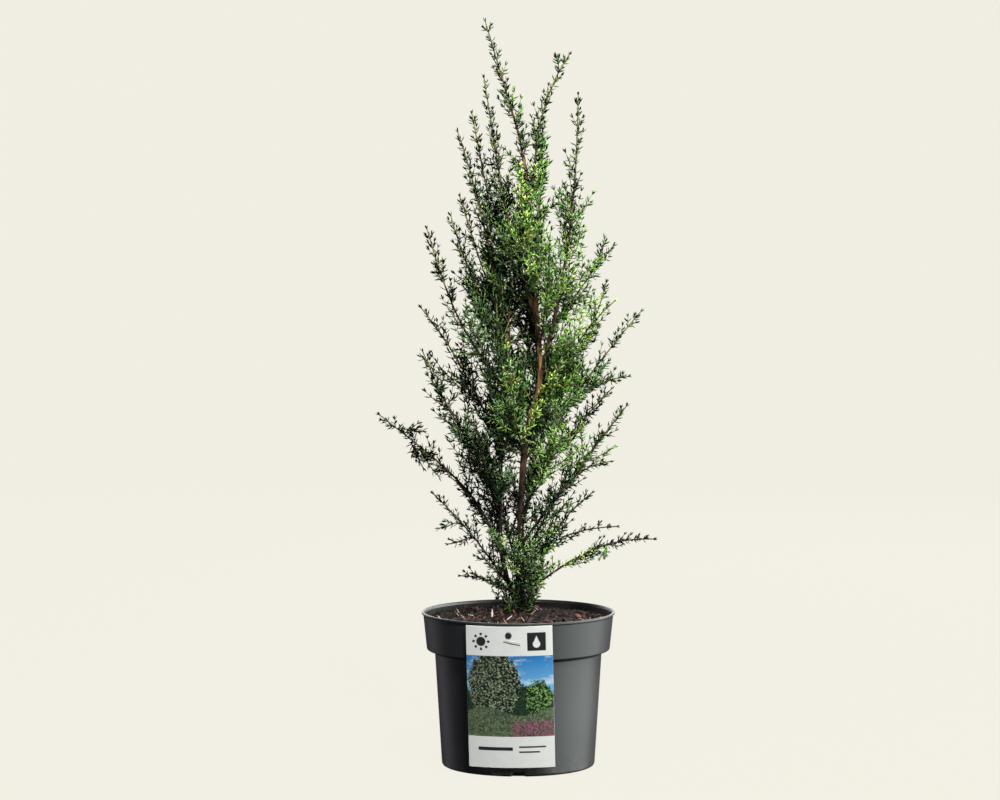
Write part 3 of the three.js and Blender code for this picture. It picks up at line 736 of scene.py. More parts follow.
def course_through(rows):
    """A smooth course through [right, back, height] bends."""
    bends = [Vector(row) for row in rows]
    framed = [2 * bends[0] - bends[1], *bends, 2 * bends[-1] - bends[-2]]
    points = []
    for step in range(COURSE_STEPS + 1):
        along = (len(bends) - 1) * step / COURSE_STEPS
        i = min(int(along), len(bends) - 2)
        s = along - i
        before, start, end, after = framed[i : i + 4]
        leaving = (end - before) / 2
        coming = (after - start) / 2
        square = -3 * start + 3 * end - 2 * leaving - coming
        cube = 2 * start - 2 * end + leaving + coming
        points.append(start + leaving * s + square * s**2 + cube * s**3)
    return Course(points)


def course_between(foot, early, late, tip):
    """A Bezier course."""
    points = []
    for step in range(COURSE_STEPS + 1):
        s = step / COURSE_STEPS
        r = 1 - s
        points.append(foot * r**3 + early * 3 * r**2 * s + late * 3 * r * s**2 + tip * s**3)
    return Course(points)


# Stems and limbs, as in the part's source

# Stems: height where the leader starts, girth at foot and top, and how far and how high the foot flares
TRUNK = {"top": 604, "base": 4.4, "tip": 1.2, "flare": 3.4, "flare_height": 11}
SIDE_STEM = {"top": 474, "base": 2.5, "tip": 1.3, "flare": 0.0, "flare_height": 1}
# How a stem's girth fades, and a limb's girth for its length, its least girth, and how far it bows
STEM_FADE = 0.75
BOUGH = {"thick_per_length": 0.0088, "least": 1.0, "bow": 0.4}

# The bends that each stem runs through: right, back and height
TRUNK_BENDS = [
    (0.5, 0, 149.9),
    (2, 0, 205),
    (3, 1, 265),
    (8, 1, 328),
    (21, -3, 378),
    (19, -3, 430),
    (12, 0, 500),
    (10, 2, 560),
    (2, 3, 612),
    (-12, 2, 662),
    (-33, -2, 732),
]
SIDE_STEM_BENDS = [
    (-1, 2, 158),
    (-14, 4, 196),
    (-18, 6, 240),
    (-17, 7, 304),
    (-13, 8, 362),
    (-9, 8, 428),
    (-13, 8, 490),
    (-30, 9, 562),
    (-46, 8, 643),
]

# Each limb: name, height where it leaves, tip, slants at foot and tip in degrees from upright,
# length of its lowest side shoots, and length of bare wood before its foliage
LIMBS = {
    "trunk": [
        ("leader_right", 548, (51, 6, 700), (8, 34), 15, 0),
        ("leader_far_right", 384, (58, -14, 661), (15, 1), 28, 58),
        ("leader_left", 436, (-34, -16, 677), (20, 10), 24, 48),
        ("leader_front", 462, (2, -38, 592), (26, 4), 28, 0),
        ("leader_back", 470, (24, 40, 628), (24, 8), 30, 34),
        ("left_foot", 168, (-59, -26, 190), (62, 88), 15, 0),
        ("right_high", 420, (95, 18, 513), (46, 42), 32, 0),
        ("right_upper", 358, (95, -26, 460), (42, 50), 34, 0),
        ("right_shoulder", 338, (80, 50, 430), (44, 40), 34, 0),
        ("right_long", 300, (122, 6, 449), (40, 41), 30, 52),
        ("right_middle", 318, (109, -34, 386), (42, 82), 32, 0),
        ("right_back", 268, (94, 40, 370), (44, 48), 32, 0),
        ("right_waist", 215, (108, 8, 356), (34, 38), 28, 66),
        ("right_inner", 206, (92, -24, 302), (38, 84), 26, 0),
        ("right_low", 172, (75, 26, 268), (28, 54), 30, 0),
        ("right_twig", 196, (100, 26, 233), (50, 90), 13, 0),
        ("right_foot", 166, (135, -8, 224), (54, 92), 12, 52),
        ("front_high", 410, (30, -60, 516), (38, 12), 32, 28),
        ("front_middle", 304, (-12, -80, 424), (48, 24), 32, 0),
        ("front_right", 246, (46, -76, 362), (44, 34), 32, 30),
        ("front_low", 184, (-28, -64, 240), (44, 56), 22, 0),
        ("front_foot", 172, (20, -58, 222), (44, 52), 26, 0),
        ("back_high", 400, (8, 68, 506), (42, 14), 32, 0),
        ("back_upper", 322, (46, 74, 436), (44, 26), 32, 0),
        ("back_low", 226, (24, 78, 336), (42, 44), 32, 0),
        ("back_foot", 188, (-30, 62, 284), (40, 50), 28, 0),
    ],
    "side_stem": [
        ("leader_outer_left", 452, (-60, -18, 625), (24, 22), 22, 0),
        ("leader_back_left", 400, (-30, 52, 566), (28, 8), 32, 0),
        ("left_spire", 434, (-58, 4, 562), (30, 18), 22, 0),
        ("left_high", 418, (-67, 18, 543), (34, 16), 28, 0),
        ("left_upper", 372, (-90, -14, 531), (42, 17), 28, 34),
        ("left_middle", 318, (-97, 12, 452), (30, 40), 32, 36),
        ("left_waist", 284, (-94, -30, 412), (46, 24), 30, 30),
        ("left_back", 262, (-66, 50, 346), (46, 46), 30, 0),
        ("left_long", 190, (-138, -8, 348), (12, 51), 22, 84),
        ("left_inner", 222, (-68, 22, 283), (42, 58), 24, 0),
        ("left_low", 172, (-85, -14, 271), (34, 46), 20, 0),
        ("front_upper", 352, (-22, -62, 470), (38, 14), 32, 0),
        ("front_left", 244, (-44, -74, 350), (44, 36), 32, 0),
        ("back_middle", 296, (-34, 80, 412), (44, 30), 32, 0),
    ],
}

# The stems' own tips: name, stem, and length of their lowest side shoots
LEADERS = [("leader_top", "trunk", 11), ("leader_side", "side_stem", 24)]


class Stem:
    """A course with a girth, from its foot to the height where it becomes a leader."""

    def __init__(self, bends, size):
        self.course = course_through(bends)
        self.top = self.course.distance_at(size["top"])
        self.size = size

    def girth(self, distance):
        """Slims towards the top, and flares at the foot."""
        base, tip = self.size["base"], self.size["tip"]
        slim = base + (tip - base) * (distance / self.top) ** STEM_FADE
        return slim + self.size["flare"] * math.exp(-distance / self.size["flare_height"])


class Spray:
    """One limb or leader: its course, its girth, and where its foliage starts."""

    def __init__(self, name, course, foot_girth, start, bushy, leaves_at=0.0, seed=0):
        self.name = name
        self.course = course
        self.start = start
        self.bushy = bushy
        self.girth_from = foot_girth
        self.leaves_at = leaves_at
        self.seed = seed

    def girth(self, distance):
        """Slims as far as the source's limb at its foot, and further towards its tip."""
        share = (distance - self.leaves_at) / (self.course.length - self.leaves_at)
        return GIRTH["limb_tip"] + (self.girth_from - GIRTH["limb_tip"]) * (1 - share) ** GIRTH["fade"]


def slant(outward, degrees):
    """A direction that leans outward by an angle from upright."""
    angle = math.radians(degrees)
    return outward * math.sin(angle) + UP * math.cos(angle)


def limb_spray(parent, row):
    """A limb that bows from its foot on a stem to its tip."""
    name, rise, tip, bow, bushy, bare = row
    foot = parent.course.point(parent.course.distance_at(rise))
    tip = Vector(tip)
    outward = (tip - foot) * Vector((1, 1, 0))
    outward.normalize()
    handle = (tip - foot).length * BOUGH["bow"]
    early = foot + slant(outward, bow[0]) * handle
    late = tip - slant(outward, bow[1]) * handle
    course = course_between(foot, early, late, tip)
    girth = max(BOUGH["least"], course.length * BOUGH["thick_per_length"])
    return Spray(name, course, girth, bare, bushy)


def leader_spray(name, stem, bushy):
    """What a stem becomes above its top."""
    return Spray(name, stem.course, stem.girth(stem.top), stem.top, bushy, stem.top)


stems = {"trunk": Stem(TRUNK_BENDS, TRUNK), "side_stem": Stem(SIDE_STEM_BENDS, SIDE_STEM)}
limbs = [limb_spray(stems[stem], row) for stem, rows in LIMBS.items() for row in rows]
sprays = [leader_spray(name, stems[stem], bushy) for name, stem, bushy in LEADERS] + limbs
for number, spray in enumerate(sprays):
    spray.seed = number + 1


# Growth: side shoots leave a limb as in the part's source, but closer together and down to tufts at its
# tip, and each carries finer shoots of its own. Lengths and girths are in mm, spreads in degrees.

# Gaps between whorls: at a limb's foot and at its tip, and along a shoot
WHORL_GAPS = {"limb": (5.0, 10.6), "shoot": 5.4}
# Side shoots. They fade from a limb's own length, times their vigour, to a tuft at its tip. A range is how
# far chance carries a value, and lift bends a shoot up.
SHOOT = {
    "vigour": 1.5,
    "fade": 1.35,
    "tuft": 3.2,
    "spread": 38,
    "spread_range": 18,
    "range": 0.6,
    "lift": 0.34,
}
# Fine shoots: the share of their side shoot's length that they reach, and how that fades along it. Each
# is turned on from the last by the same angle.
FINE = {
    "share": 0.5,
    "fade": 0.55,
    "range": (0.7, 0.6),
    "spread": 42,
    "spread_range": 22,
    "lift": 0.3,
    "least": 5.0,
    "every": 2,
    "turn": 137.5,
    "tone_range": 0.25,
    "mean_tone": 0.4,
}
# Short shoots on bare wood: where they start, their gaps, and their lengths along it
STEM_SHOOT = {"from": 12, "gap": 5.0, "foot": 15, "middle": 34, "top": 16, "spread": 50}
BOUGH_SHOOT = {"from": 6, "gap": 5.6, "length": 7.0, "foot": 0.6, "more": 0.6, "spread": 56}
# How near to a tip these shoots count as being
WOOD_NEAR_TIP = 0.2
# Side twigs: their girth as a share of their limb's, and the bare length at their foot
SIDE_TWIG = {"girth": 0.7, "start": 2}
GIRTH = {"limb_tip": 0.6, "shoot": 0.62, "fine": 0.42, "tip": 0.3, "fade": 1.5}
# Needles close round a tip's bud over this length, stop short of a limb's tip, and shrink towards it
CLOSING = 4.0
TIP_ROOM = 3.0
TIP_SHRINK = 0.22
# Whorls of a limb that share one tone
SPINE_STRETCH = 7
# From this share of a limb on, some of its side shoots come in pairs
PAIRED = {"from": 0.3, "share": 0.45}
# The share of side shoots that live: it rises with height, and outwards or inwards from there. Shoots are
# thinned at the crown's sides, on the right only below a height.
FULLNESS = {"foot": 175, "rise": 180, "least": 0.4, "most": 0.78, "outer": 0.8, "inner": 0.35, "reach": 75}
THINNED = {"left": 0.5, "right": 0.25, "high": 560, "fade": 80}
# The shaded core of the crown: its top and foot, its reach, and how far it lies towards the side stem
CROWN = {"top": 655, "core": 54, "core_rise": 0.22, "foot": 200, "foot_rise": 140, "left": 0.6}

# How fresh a shoot's green is: what it starts from, and what its place, its limb, its luck and its limb's
# tip add or take away. Its place adds painted light in front and at the right, and painted shade at the
# left and inside the crown. Reaches are in mm.
TONE = {
    "start": 0.18,
    "front": 0.1,
    "lit_front_reach": 60,
    "right": 0.16,
    "lit_right_reach": 45,
    "shaded_left_most": -1.5,
    "inside": 0.42,
    "limb": 0.16,
    "luck": 0.52,
    "tip": 0.46,
}

# Factors that scatter the numbers of a seed, a shoot and a use into a draw
SCATTER = (127.1, 311.7, 74.7, 43_758.5453)
# Seeds of the shoots that don't grow on sprays: those of boughs are added to the bough's own
SEEDS = {"sprouts": 68, "stems": 141, "boughs": 100}
# What each drawn number decides. A fine shoot has five of its own from "fine" on, for its length, spread,
# tone, turn and life, and "fine_step" leads on to the next fine shoot.
USE = {
    "azimuth": 1,
    "spread": 2,
    "length": 3,
    "tone": 5,
    "turn": 6,
    "stretch": 8,
    "fine_azimuth": 9,
    "fine": 10,
    "fine_step": 7,
    "life": 12,
    "pair": 13,
    "view": 14,
    "limb_tone": 40,
}
# The stretches of trunk that the photo shows: lowest and highest point, and the share of the shoots before
# them that stay
BARE_VIEW = ((236, 364, 0.45), (364, 452, 0.1))
# How far to either side of the trunk's middle a shoot counts as being before it
BARE_HALF_WIDTH = 4.4
# Needles are smaller up to a height, and full-grown from another on
LOW_NEEDLES = {"size": 0.76, "from": 180, "to": 330}
# Twigs green between two heights, and each from its foot on
GREENING = {"low": 230, "high": 450, "least": 0.1, "limb_from": 0.375, "shoot_foot": 0.35}
# Limbs whose tips the photo shows yellow-green or dull, and how much fresher they get there
YOUNG_TIPS = {
    "front_middle": 0.7,
    "leader_front": 0.7,
    "front_low": 0.65,
    "right_upper": 0.5,
    "left_low": 0.2,
    "right_foot": -0.5,
    "right_high": -0.3,
    "leader_far_right": -0.25,
}

# Sprouts round the foot of the trunk: direction from +X, lean from upright and length
SPROUTS = [
    (-14, 20, 50),
    (-4, 34, 40),
    (-36, 26, 44),
    (-58, 40, 26),
    (24, 28, 46),
    (44, 46, 30),
    (-88, 30, 24),
    (-124, 48, 18),
    (178, 56, 22),
    (146, 40, 26),
    (104, 46, 24),
    (70, 34, 38),
]
# Where they stand, how much thicker than shoots they are, the shoots they carry, and the numbers that
# each one keeps for those
SPROUT = {
    "radius": 6.0,
    "height": 150.5,
    "thicker": 1.4,
    "fine": 15,
    "shorter": 0.5,
    "spread": 50,
    "near_tip": 0.4,
    "numbers": 20,
}

# Side twigs that the photo shows: limb, share of its course where it leaves, tip, longest side shoot
SIDE_TWIGS = [
    ("front_middle", 0.25, (7, -50, 412), 15),
    ("back_upper", 0.3, (8, 52, 420), 20),
    ("back_high", 0.2, (-6, 48, 496), 18),
    ("leader_right", 0.84, (37, 6, 698), 6),
    ("right_high", 0.74, (85, 14, 521), 7),
    ("right_upper", 0.66, (86, -20, 479), 9),
    ("right_foot", 0.48, (79, -8, 204), 7),
    ("left_low", 0.64, (-80, -14, 236), 9),
    ("left_low", 0.48, (-71, -10, 220), 9),
    ("left_long", 0.62, (-92, -8, 292), 12),
    ("left_long", 0.54, (-76, -8, 284), 10),
    ("left_long", 0.78, (-91, -10, 331), 8),
]


def draw(seed, shoot, use, more=0):
    """A repeatable number from 0 to 1 for one use by one shoot of one spray."""
    by_seed, by_shoot, by_use, spread = SCATTER
    wave = math.sin(seed * by_seed + shoot * by_shoot + (USE[use] + more) * by_use) * spread
    return wave - math.floor(wave)


def ramp(value, low, high):
    """0 up to low, rising evenly to 1 at high and beyond."""
    return min(max((value - low) / (high - low), 0), 1)


def heading(aim, beside, azimuth, spread):
    """The way a shoot points: outward at the azimuth, bent forward by its spread from the twig."""
    side = aim.cross(beside).normalized()
    over = aim.cross(side)
    outward = side * math.cos(azimuth) + over * math.sin(azimuth)
    return outward * math.sin(spread) + aim * math.cos(spread)


def beside_of(reach):
    """A direction well away from that of a twig."""
    return RIGHT if abs(reach.x) < abs(reach.y) else BACK


class Twig:
    """A twig with one point to each whorl of needles, and a girth to each point where its wood shows.

    tone is how fresh its green is, turn where its first needles stand, and size how long they are, as a
    share of full-grown ones. limb tells a limb's own twig from a shoot.
    """

    def __init__(self, points, tone=0.0, turn=0.0, size=1.0, girths=(), limb=False):
        self.points = points
        self.tone = tone
        self.turn = turn
        self.size = size
        self.girths = girths
        self.limb = limb
        self.beside = beside_of(points[-1] - points[0])

    def aim(self, i):
        """The way the twig runs at one of its points."""
        after = self.points[min(i + 1, len(self.points) - 1)]
        return (after - self.points[max(i - 1, 0)]).normalized()


def spaced(start, end, gaps):
    """Distances from start to end, with the first gap near the start and the last near the end."""
    steps = [start]
    while steps[-1] < end:
        share = (steps[-1] - start) / (end - start)
        steps.append(steps[-1] + gaps[0] + (gaps[1] - gaps[0]) * share)
    return [start + (step - start) * (end - start) / (steps[-1] - start) for step in steps]


def shoot_points(foot, way, length, lift):
    """A shoot's course, bending up by its lift."""
    count = max(1, round(length / WHORL_GAPS["shoot"]))
    shares = [i / count for i in range(count + 1)]
    return [foot + way * length * s + UP * lift * length * s**2 for s in shares]


def tapered(points, foot_girth):
    """Girths that slim evenly from a shoot's foot to its tip."""
    last = len(points) - 1
    return [foot_girth + (GIRTH["tip"] - foot_girth) * i / last for i in range(last + 1)]


def tone_of(spray, point, along, chance):
    """How fresh a shoot's green is, from 0 deep to 1 young: fresher in front and at the right as painted
    light, and darker at the left and inside the crown as painted shade.
    """
    # Painted light and shade: lighter in front and at the right, darker at the left and in the crown's core
    front = TONE["front"] * ramp(-point.y, 0, TONE["lit_front_reach"])
    right = TONE["right"] * max(min(point.x / TONE["lit_right_reach"], 1), TONE["shaded_left_most"])
    painted_light_and_shade = front + right - TONE["inside"] * inside(point)
    limb = TONE["limb"] * draw(spray.seed, 0, "limb_tone")
    young = YOUNG_TIPS.get(spray.name, 0)
    return TONE["start"] + painted_light_and_shade + limb + TONE["luck"] * chance + (young - TONE["tip"]) * along


def inside(point):
    """1 at the middle of the crown, falling to 0 well inside its edge and at its foot."""
    height = min(point.z, SIDE_STEM_BENDS[-1][2] - 1)
    low = ramp(point.z, CROWN["foot"], CROWN["foot"] + CROWN["foot_rise"])
    trunk, side = stems["trunk"].course, stems["side_stem"].course
    middle = trunk.point(trunk.distance_at(height)).lerp(side.point(side.distance_at(height)), CROWN["left"])
    reach = min(CROWN["core"], CROWN["core_rise"] * (CROWN["top"] - height))
    return low * max(0.0, 1 - math.hypot(point.x - middle.x, point.y - middle.y) / reach)


def fullness(point):
    """The share of side shoots that live: fewer low in the shade of the crown, and fewer at its sides."""
    reach = FULLNESS["reach"]
    height = ramp(point.z, FULLNESS["foot"], FULLNESS["foot"] + FULLNESS["rise"])
    outer = ramp(math.hypot(point.x, point.y), 0, reach)
    left = ramp(-point.x, 0, reach)
    right = ramp(point.x, 0, reach) * height * ramp(THINNED["high"] - point.z, 0, THINNED["fade"])
    rise = FULLNESS["least"] + (FULLNESS["most"] - FULLNESS["least"]) * height
    core = FULLNESS["inner"] * inside(point) * height
    thinned = THINNED["left"] * left + THINNED["right"] * right
    return rise + core + FULLNESS["outer"] * outer * (1 - height) - thinned


def stays_before_trunk(points, chance):
    """Whether a shoot may grow: some of those before the bare stretches of the trunk may not."""
    for point in points[1:]:
        for low, high, share in BARE_VIEW:
            if low < point.z < high and chance > share:
                middle = stems["trunk"].course.point(stems["trunk"].course.distance_at(point.z))
                if point.y < middle.y and abs(point.x - middle.x) < BARE_HALF_WIDTH:
                    return False
    return True


def grow_shoot(spray, k, foot, aim, beside, length, spread, near_tip, beyond=0):
    """One side shoot with its finer shoots.

    Its azimuth in degrees is that of the source's rule: a sixth of a turn on for each whorl, at one of the
    whorl's three places.
    """
    seed = spray.seed
    azimuth = math.radians(60 * (k + 1) + 120 * math.floor(3 * draw(seed, k, "azimuth")) + beyond)
    spread = math.radians(spread + SHOOT["spread_range"] * (draw(seed, k, "spread") - 0.5))
    length *= 1 + SHOOT["range"] * (draw(seed, k, "length") - 0.5)
    points = shoot_points(foot, heading(aim, beside, azimuth, spread), length, SHOOT["lift"])
    if not stays_before_trunk(points, draw(seed, k, "view")):
        return []
    tone = tone_of(spray, points[-1], near_tip, draw(seed, k, "tone"))
    turn = 2 * math.pi * draw(seed, k, "turn")
    shoot = Twig(points, tone, turn, 1 - TIP_SHRINK * near_tip, tapered(points, GIRTH["shoot"]))
    return [shoot, *grow_fine(seed, k, shoot, length)]


def grow_fine(seed, k, shoot, length):
    """The short shoots of one side shoot, alternating round it."""
    made = []
    last = len(shoot.points) - 1
    least, more = FINE["range"]
    for i in range(1, last - 1, FINE["every"]):
        near_tip = i / last
        own = USE["fine_step"] * i
        reach = FINE["share"] * length * (1 - FINE["fade"] * near_tip)
        reach *= least + more * draw(seed, k, "fine", own)
        if reach < FINE["least"]:
            continue
        azimuth = math.radians(FINE["turn"] * i + 360 * draw(seed, k, "fine_azimuth"))
        spread = FINE["spread"] + FINE["spread_range"] * (draw(seed, k, "fine", own + 1) - 0.5)
        way = heading(shoot.aim(i), shoot.beside, azimuth, math.radians(spread))
        points = shoot_points(shoot.points[i], way, reach, FINE["lift"])
        if not stays_before_trunk(points, draw(seed, k, "fine", own + 4)):
            continue
        tone = shoot.tone + FINE["tone_range"] * (draw(seed, k, "fine", own + 2) - FINE["mean_tone"])
        turn = 2 * math.pi * draw(seed, k, "fine", own + 3)
        made.append(Twig(points, tone, turn, shoot.size, tapered(points, GIRTH["fine"])))
    return made


def grow_spray(spray):
    """A limb's own needled stem, its side shoots and their finer shoots."""
    end = spray.course.length - TIP_ROOM
    steps = spaced(spray.start, end, WHORL_GAPS["limb"])
    points = [spray.course.point(distance) for distance in steps]
    spine = Twig(points, girths=[spray.girth(distance) for distance in steps], limb=True)
    twigs = [spine]
    for k, distance in enumerate(steps[1:-1]):
        near_tip = (distance - spray.start) / (end - spray.start)
        length = SHOOT["vigour"] * spray.bushy * (1 - near_tip) ** SHOOT["fade"] + SHOOT["tuft"]
        foot, aim = spray.course.point(distance), spray.course.aim(distance)
        if draw(spray.seed, k, "life") > fullness(foot) + near_tip**2:
            continue
        paired = near_tip > PAIRED["from"] and draw(spray.seed, k, "pair") < PAIRED["share"]
        for beyond in (0, 180) if paired else (0,):
            size = (length, SHOOT["spread"], near_tip)
            twigs.extend(grow_shoot(spray, k, foot, aim, spine.beside, *size, beyond))
    return twigs


def grow_on_wood(course, seed, start, end, gap, spread, length_at):
    """The short shoots that stand straight on bare wood."""
    clothed = Spray("wood", course, 0, 0, 0, seed=seed)
    twigs = []
    for k, distance in enumerate(spaced(start, end, (gap, gap))):
        foot, aim = course.point(distance), course.aim(distance)
        if draw(seed, k, "life") > fullness(foot):
            continue
        length = length_at(distance / end)
        twigs.extend(grow_shoot(clothed, k, foot, aim, beside_of(aim), length, spread, WOOD_NEAR_TIP))
    return twigs


def grow_on_stem(stem, seed):
    """Shoots on a stem, longest half way up."""

    def length_at(share):
        ends = STEM_SHOOT["foot"] * (1 - share) + STEM_SHOOT["top"] * share
        return ends + (STEM_SHOOT["middle"] - ends) * math.sin(math.pi * share)

    start, gap, spread = (STEM_SHOOT[key] for key in ("from", "gap", "spread"))
    return grow_on_wood(stem.course, seed, start, stem.top, gap, spread, length_at)


def grow_on_bough(limb):
    """Shoots on the bare foot of a limb, longer towards its foliage."""

    def length_at(share):
        return BOUGH_SHOOT["length"] * (BOUGH_SHOOT["foot"] + BOUGH_SHOOT["more"] * share)

    start, gap, spread = (BOUGH_SHOOT[key] for key in ("from", "gap", "spread"))
    return grow_on_wood(limb.course, limb.seed + SEEDS["boughs"], start, limb.start, gap, spread, length_at)


def grow_sprouts():
    """Upright sprouts round the foot of the trunk."""
    sprout = Spray("sprouts", stems["trunk"].course, 0, 0, 0, seed=SEEDS["sprouts"])
    twigs = []
    for k, (azimuth, lean, length) in enumerate(SPROUTS):
        outward = Vector((math.cos(math.radians(azimuth)), math.sin(math.radians(azimuth)), 0))
        foot = outward * SPROUT["radius"] + UP * SPROUT["height"]
        points = shoot_points(foot, slant(outward, lean), length, SHOOT["lift"])
        tone = tone_of(sprout, points[-1], 0.0, draw(sprout.seed, k, "tone"))
        shoot = Twig(points, tone, k, girths=tapered(points, GIRTH["shoot"] * SPROUT["thicker"]))
        twigs.append(shoot)
        for i in range(1, len(points) - 1):
            number = SPROUT["numbers"] * k + i
            reach = SPROUT["fine"] * (1 - SPROUT["shorter"] * i / len(points))
            size = (reach, SPROUT["spread"], SPROUT["near_tip"])
            twigs.extend(grow_shoot(sprout, number, points[i], shoot.aim(i), BACK, *size))
    return twigs


def side_spray(limb, share, tip, bushy):
    """A side twig that grows like a limb, from a limb to the given tip."""
    distance = limb.start + (limb.course.length - limb.start) * share
    foot, tip = limb.course.point(distance), Vector(tip)
    handle = (tip - foot).length * BOUGH["bow"]
    early = foot + limb.course.aim(distance) * handle
    late = tip - (tip - foot + UP * handle).normalized() * handle
    course = course_between(foot, early, late, tip)
    girth = limb.girth(distance) * SIDE_TWIG["girth"]
    return Spray(f"{limb.name}_twig", course, girth, SIDE_TWIG["start"], bushy)


def grow_crown():
    """Every spray with its own stem, and the shoots of sprays, bare wood and sprouts."""
    by_name = {limb.name: limb for limb in limbs}
    side_sprays = [side_spray(by_name[name], *row) for name, *row in SIDE_TWIGS]
    for number, spray in enumerate(side_sprays):
        spray.seed = len(sprays) + number + 1
    grown_sprays = [(spray, grow_spray(spray)) for spray in sprays + side_sprays]
    spines = [(spray, twigs[0]) for spray, twigs in grown_sprays]
    shoots = [twig for _, twigs in grown_sprays for twig in twigs[1:]]
    for number, stem in enumerate(stems.values()):
        shoots.extend(grow_on_stem(stem, SEEDS["stems"] + number))
    for limb in limbs:
        if limb.start:
            shoots.extend(grow_on_bough(limb))
    shoots.extend(grow_sprouts())
    return spines, shoots


# Lines that carry the numbers each tree reads at their points


def lines_object(name, twigs, **values):
    """Open lines through the twigs' points, in metres, with named numbers at each point."""
    corners = []
    edges = []
    for twig in twigs:
        first = len(corners)
        corners.extend(point * MM for point in twig.points)
        edges.extend((first + i, first + i + 1) for i in range(len(twig.points) - 1))
    made = plain_object(name, corners, (), edges=edges)
    for label, numbers_of in values.items():
        numbers = [number for twig in twigs for number in numbers_of(twig)]
        made.data.attributes.new(label, "FLOAT", "POINT").data.foreach_set("value", numbers)
    return made


def closings(twig):
    """0 along a twig, rising to 1 at its tip, where the needles close round the bud."""
    gaps = [(point - twig.points[-1]).length for point in twig.points]
    return [max(0.0, 1 - gap / CLOSING) for gap in gaps]


def needle_sizes(twig):
    """Needles are shorter low in the crown, in its shade, and towards the tips."""
    least = LOW_NEEDLES["size"]
    shares = [ramp(point.z, LOW_NEEDLES["from"], LOW_NEEDLES["to"]) for point in twig.points]
    return [twig.size * (least + (1 - least) * share) for share in shares]


def turns(twig):
    """Each whorl stands a sixth of a turn on from the last."""
    return [twig.turn + i * math.pi / 3 for i in range(len(twig.points))]


def freshness(twig):
    """How green the bark is: it greens up the plant, towards a limb's tip and along a side shoot."""
    made = []
    last = len(twig.points) - 1
    for i, point in enumerate(twig.points):
        if twig.limb:
            along = ramp(i / last, GREENING["limb_from"], 1)
        else:
            along = GREENING["shoot_foot"] + (1 - GREENING["shoot_foot"]) * i / last
        made.append(along * max(ramp(point.z, GREENING["low"], GREENING["high"]), GREENING["least"]))
    return made


def girths(twig):
    """The wood's girths in metres."""
    return [girth * MM for girth in twig.girths]


# A needle in mm, how much its size varies, its narrowest and widest spread in degrees, and the seeds that
# each green keeps
NEEDLE = {
    "length": 8.5,
    "width": 1.95,
    "thick": 0.72,
    "bend": 1.2,
    "shortest": 0.7,
    "longest": 1.08,
    "narrow": 42,
    "wide": 76,
    "seeds": 100,
}
# Share of a needle's length, and its fullness there
NEEDLE_RINGS = [(0.0, 0.65), (0.58, 1.0)]
NEEDLE_TRIANGLES = 10
MOST_TRIANGLES = 190_000


def needle_object():
    """One needle along +Z: flat and pale above, on its -X side, keeled below, bent in towards its tip."""
    length, width, thick, bend = (NEEDLE[key] for key in ("length", "width", "thick", "bend"))
    corners = []
    for share, full in NEEDLE_RINGS:
        arch = -bend * share**2
        corners.append((arch, -width * full / 2, length * share))
        corners.append((arch, width * full / 2, length * share))
        corners.append((arch + thick * full, 0, length * share))
    corners.append((-bend, 0, length))
    tip = len(corners) - 1
    faces = [(0, 1, 2)]
    for low in range(0, tip - 3, 3):
        for k in range(3):
            after = (k + 1) % 3
            faces.append((low + k, low + 3 + k, low + 3 + after, low + after))
    high = tip - 3
    faces.extend((high + k, tip, high + (k + 1) % 3) for k in range(3))
    made = plain_object("needle", [Vector(corner) * MM for corner in corners], faces)
    upper = [1.0 if face.normal.x < -0.5 else 0.0 for face in made.data.polygons]
    made.data.attributes.new("upper", "FLOAT", "FACE").data.foreach_set("value", upper)
    return made


# The tubes of each kind of wood: faces round it, how far its bark stands out, and how fine that relief is
WOOD = {
    "stem": {"Sides": 32, "Relief": 3.0 * MM, "Grain": 430.0},
    "bough": {"Sides": 14, "Relief": 0.5 * MM, "Grain": 700.0},
    "limb": {"Sides": 7, "Relief": 0.0, "Grain": 1.0},
    "shoot": {"Sides": 4, "Relief": 0.0, "Grain": 1.0},
}
# Greens from shaded to young: the freshest tone each takes, its shade, its light and its upper band
GREENS = {
    "shaded": (0.24, "#010301", "#08180b", "#1a2a1a"),
    "deep": (0.42, "#020502", "#14381a", "#4a6a4c"),
    "green": (0.62, "#030903", "#336428", "#84a474"),
    "fresh": (0.84, "#081706", "#62a636", "#a8c878"),
    "young": (math.inf, "#34601a", "#b0d44c", "#cce48c"),
}


def in_batches(twigs, most):
    """Splits twigs into lists with at most so many points each."""
    batches = [[]]
    count = 0
    for twig in twigs:
        if count + len(twig.points) > most:
            batches.append([])
            count = 0
        batches[-1].append(twig)
        count += len(twig.points)
    return batches


def cut_spine(spray, spine):
    """A limb's own needles, in stretches that each have a tone of their own."""
    made = []
    last = len(spine.points) - 1
    for i in range(0, last, SPINE_STRETCH):
        points = spine.points[i : i + SPINE_STRETCH + 1]
        tone = tone_of(spray, points[-1], i / last, draw(spray.seed, i, "stretch"))
        made.append(Twig(points, tone, i * math.pi / 3, 1 - TIP_SHRINK * i / last))
    return made


def off_the_limb(shoot):
    """A shoot's needles, which start half a step out from what it grows on."""
    points = [shoot.points[0].lerp(shoot.points[1], 0.5), *shoot.points[1:]]
    return Twig(points, shoot.tone, shoot.turn, shoot.size)


def make_twigs(spines, shoots, masses, tubes):
    """The fine wood of every limb, and of all side shoots."""
    batches = in_batches(shoots, MOST_TRIANGLES // (2 * WOOD["shoot"]["Sides"]))
    kinds = [("limb_twigs", [spine for _, spine in spines], "limb")]
    kinds += [(f"side_twigs_{i + 1}", batch, "shoot") for i, batch in enumerate(batches)]
    finishes = {kind: bark_finish(f"{kind}_bark") for kind in ("limb", "shoot")}
    for name, twigs, kind in kinds:
        start = lines_object("twig_lines", twigs, girth=girths, fresh=freshness)
        keep(grown(name, start, tubes, Material=finishes[kind], **WOOD[kind]), "bark", *masses)


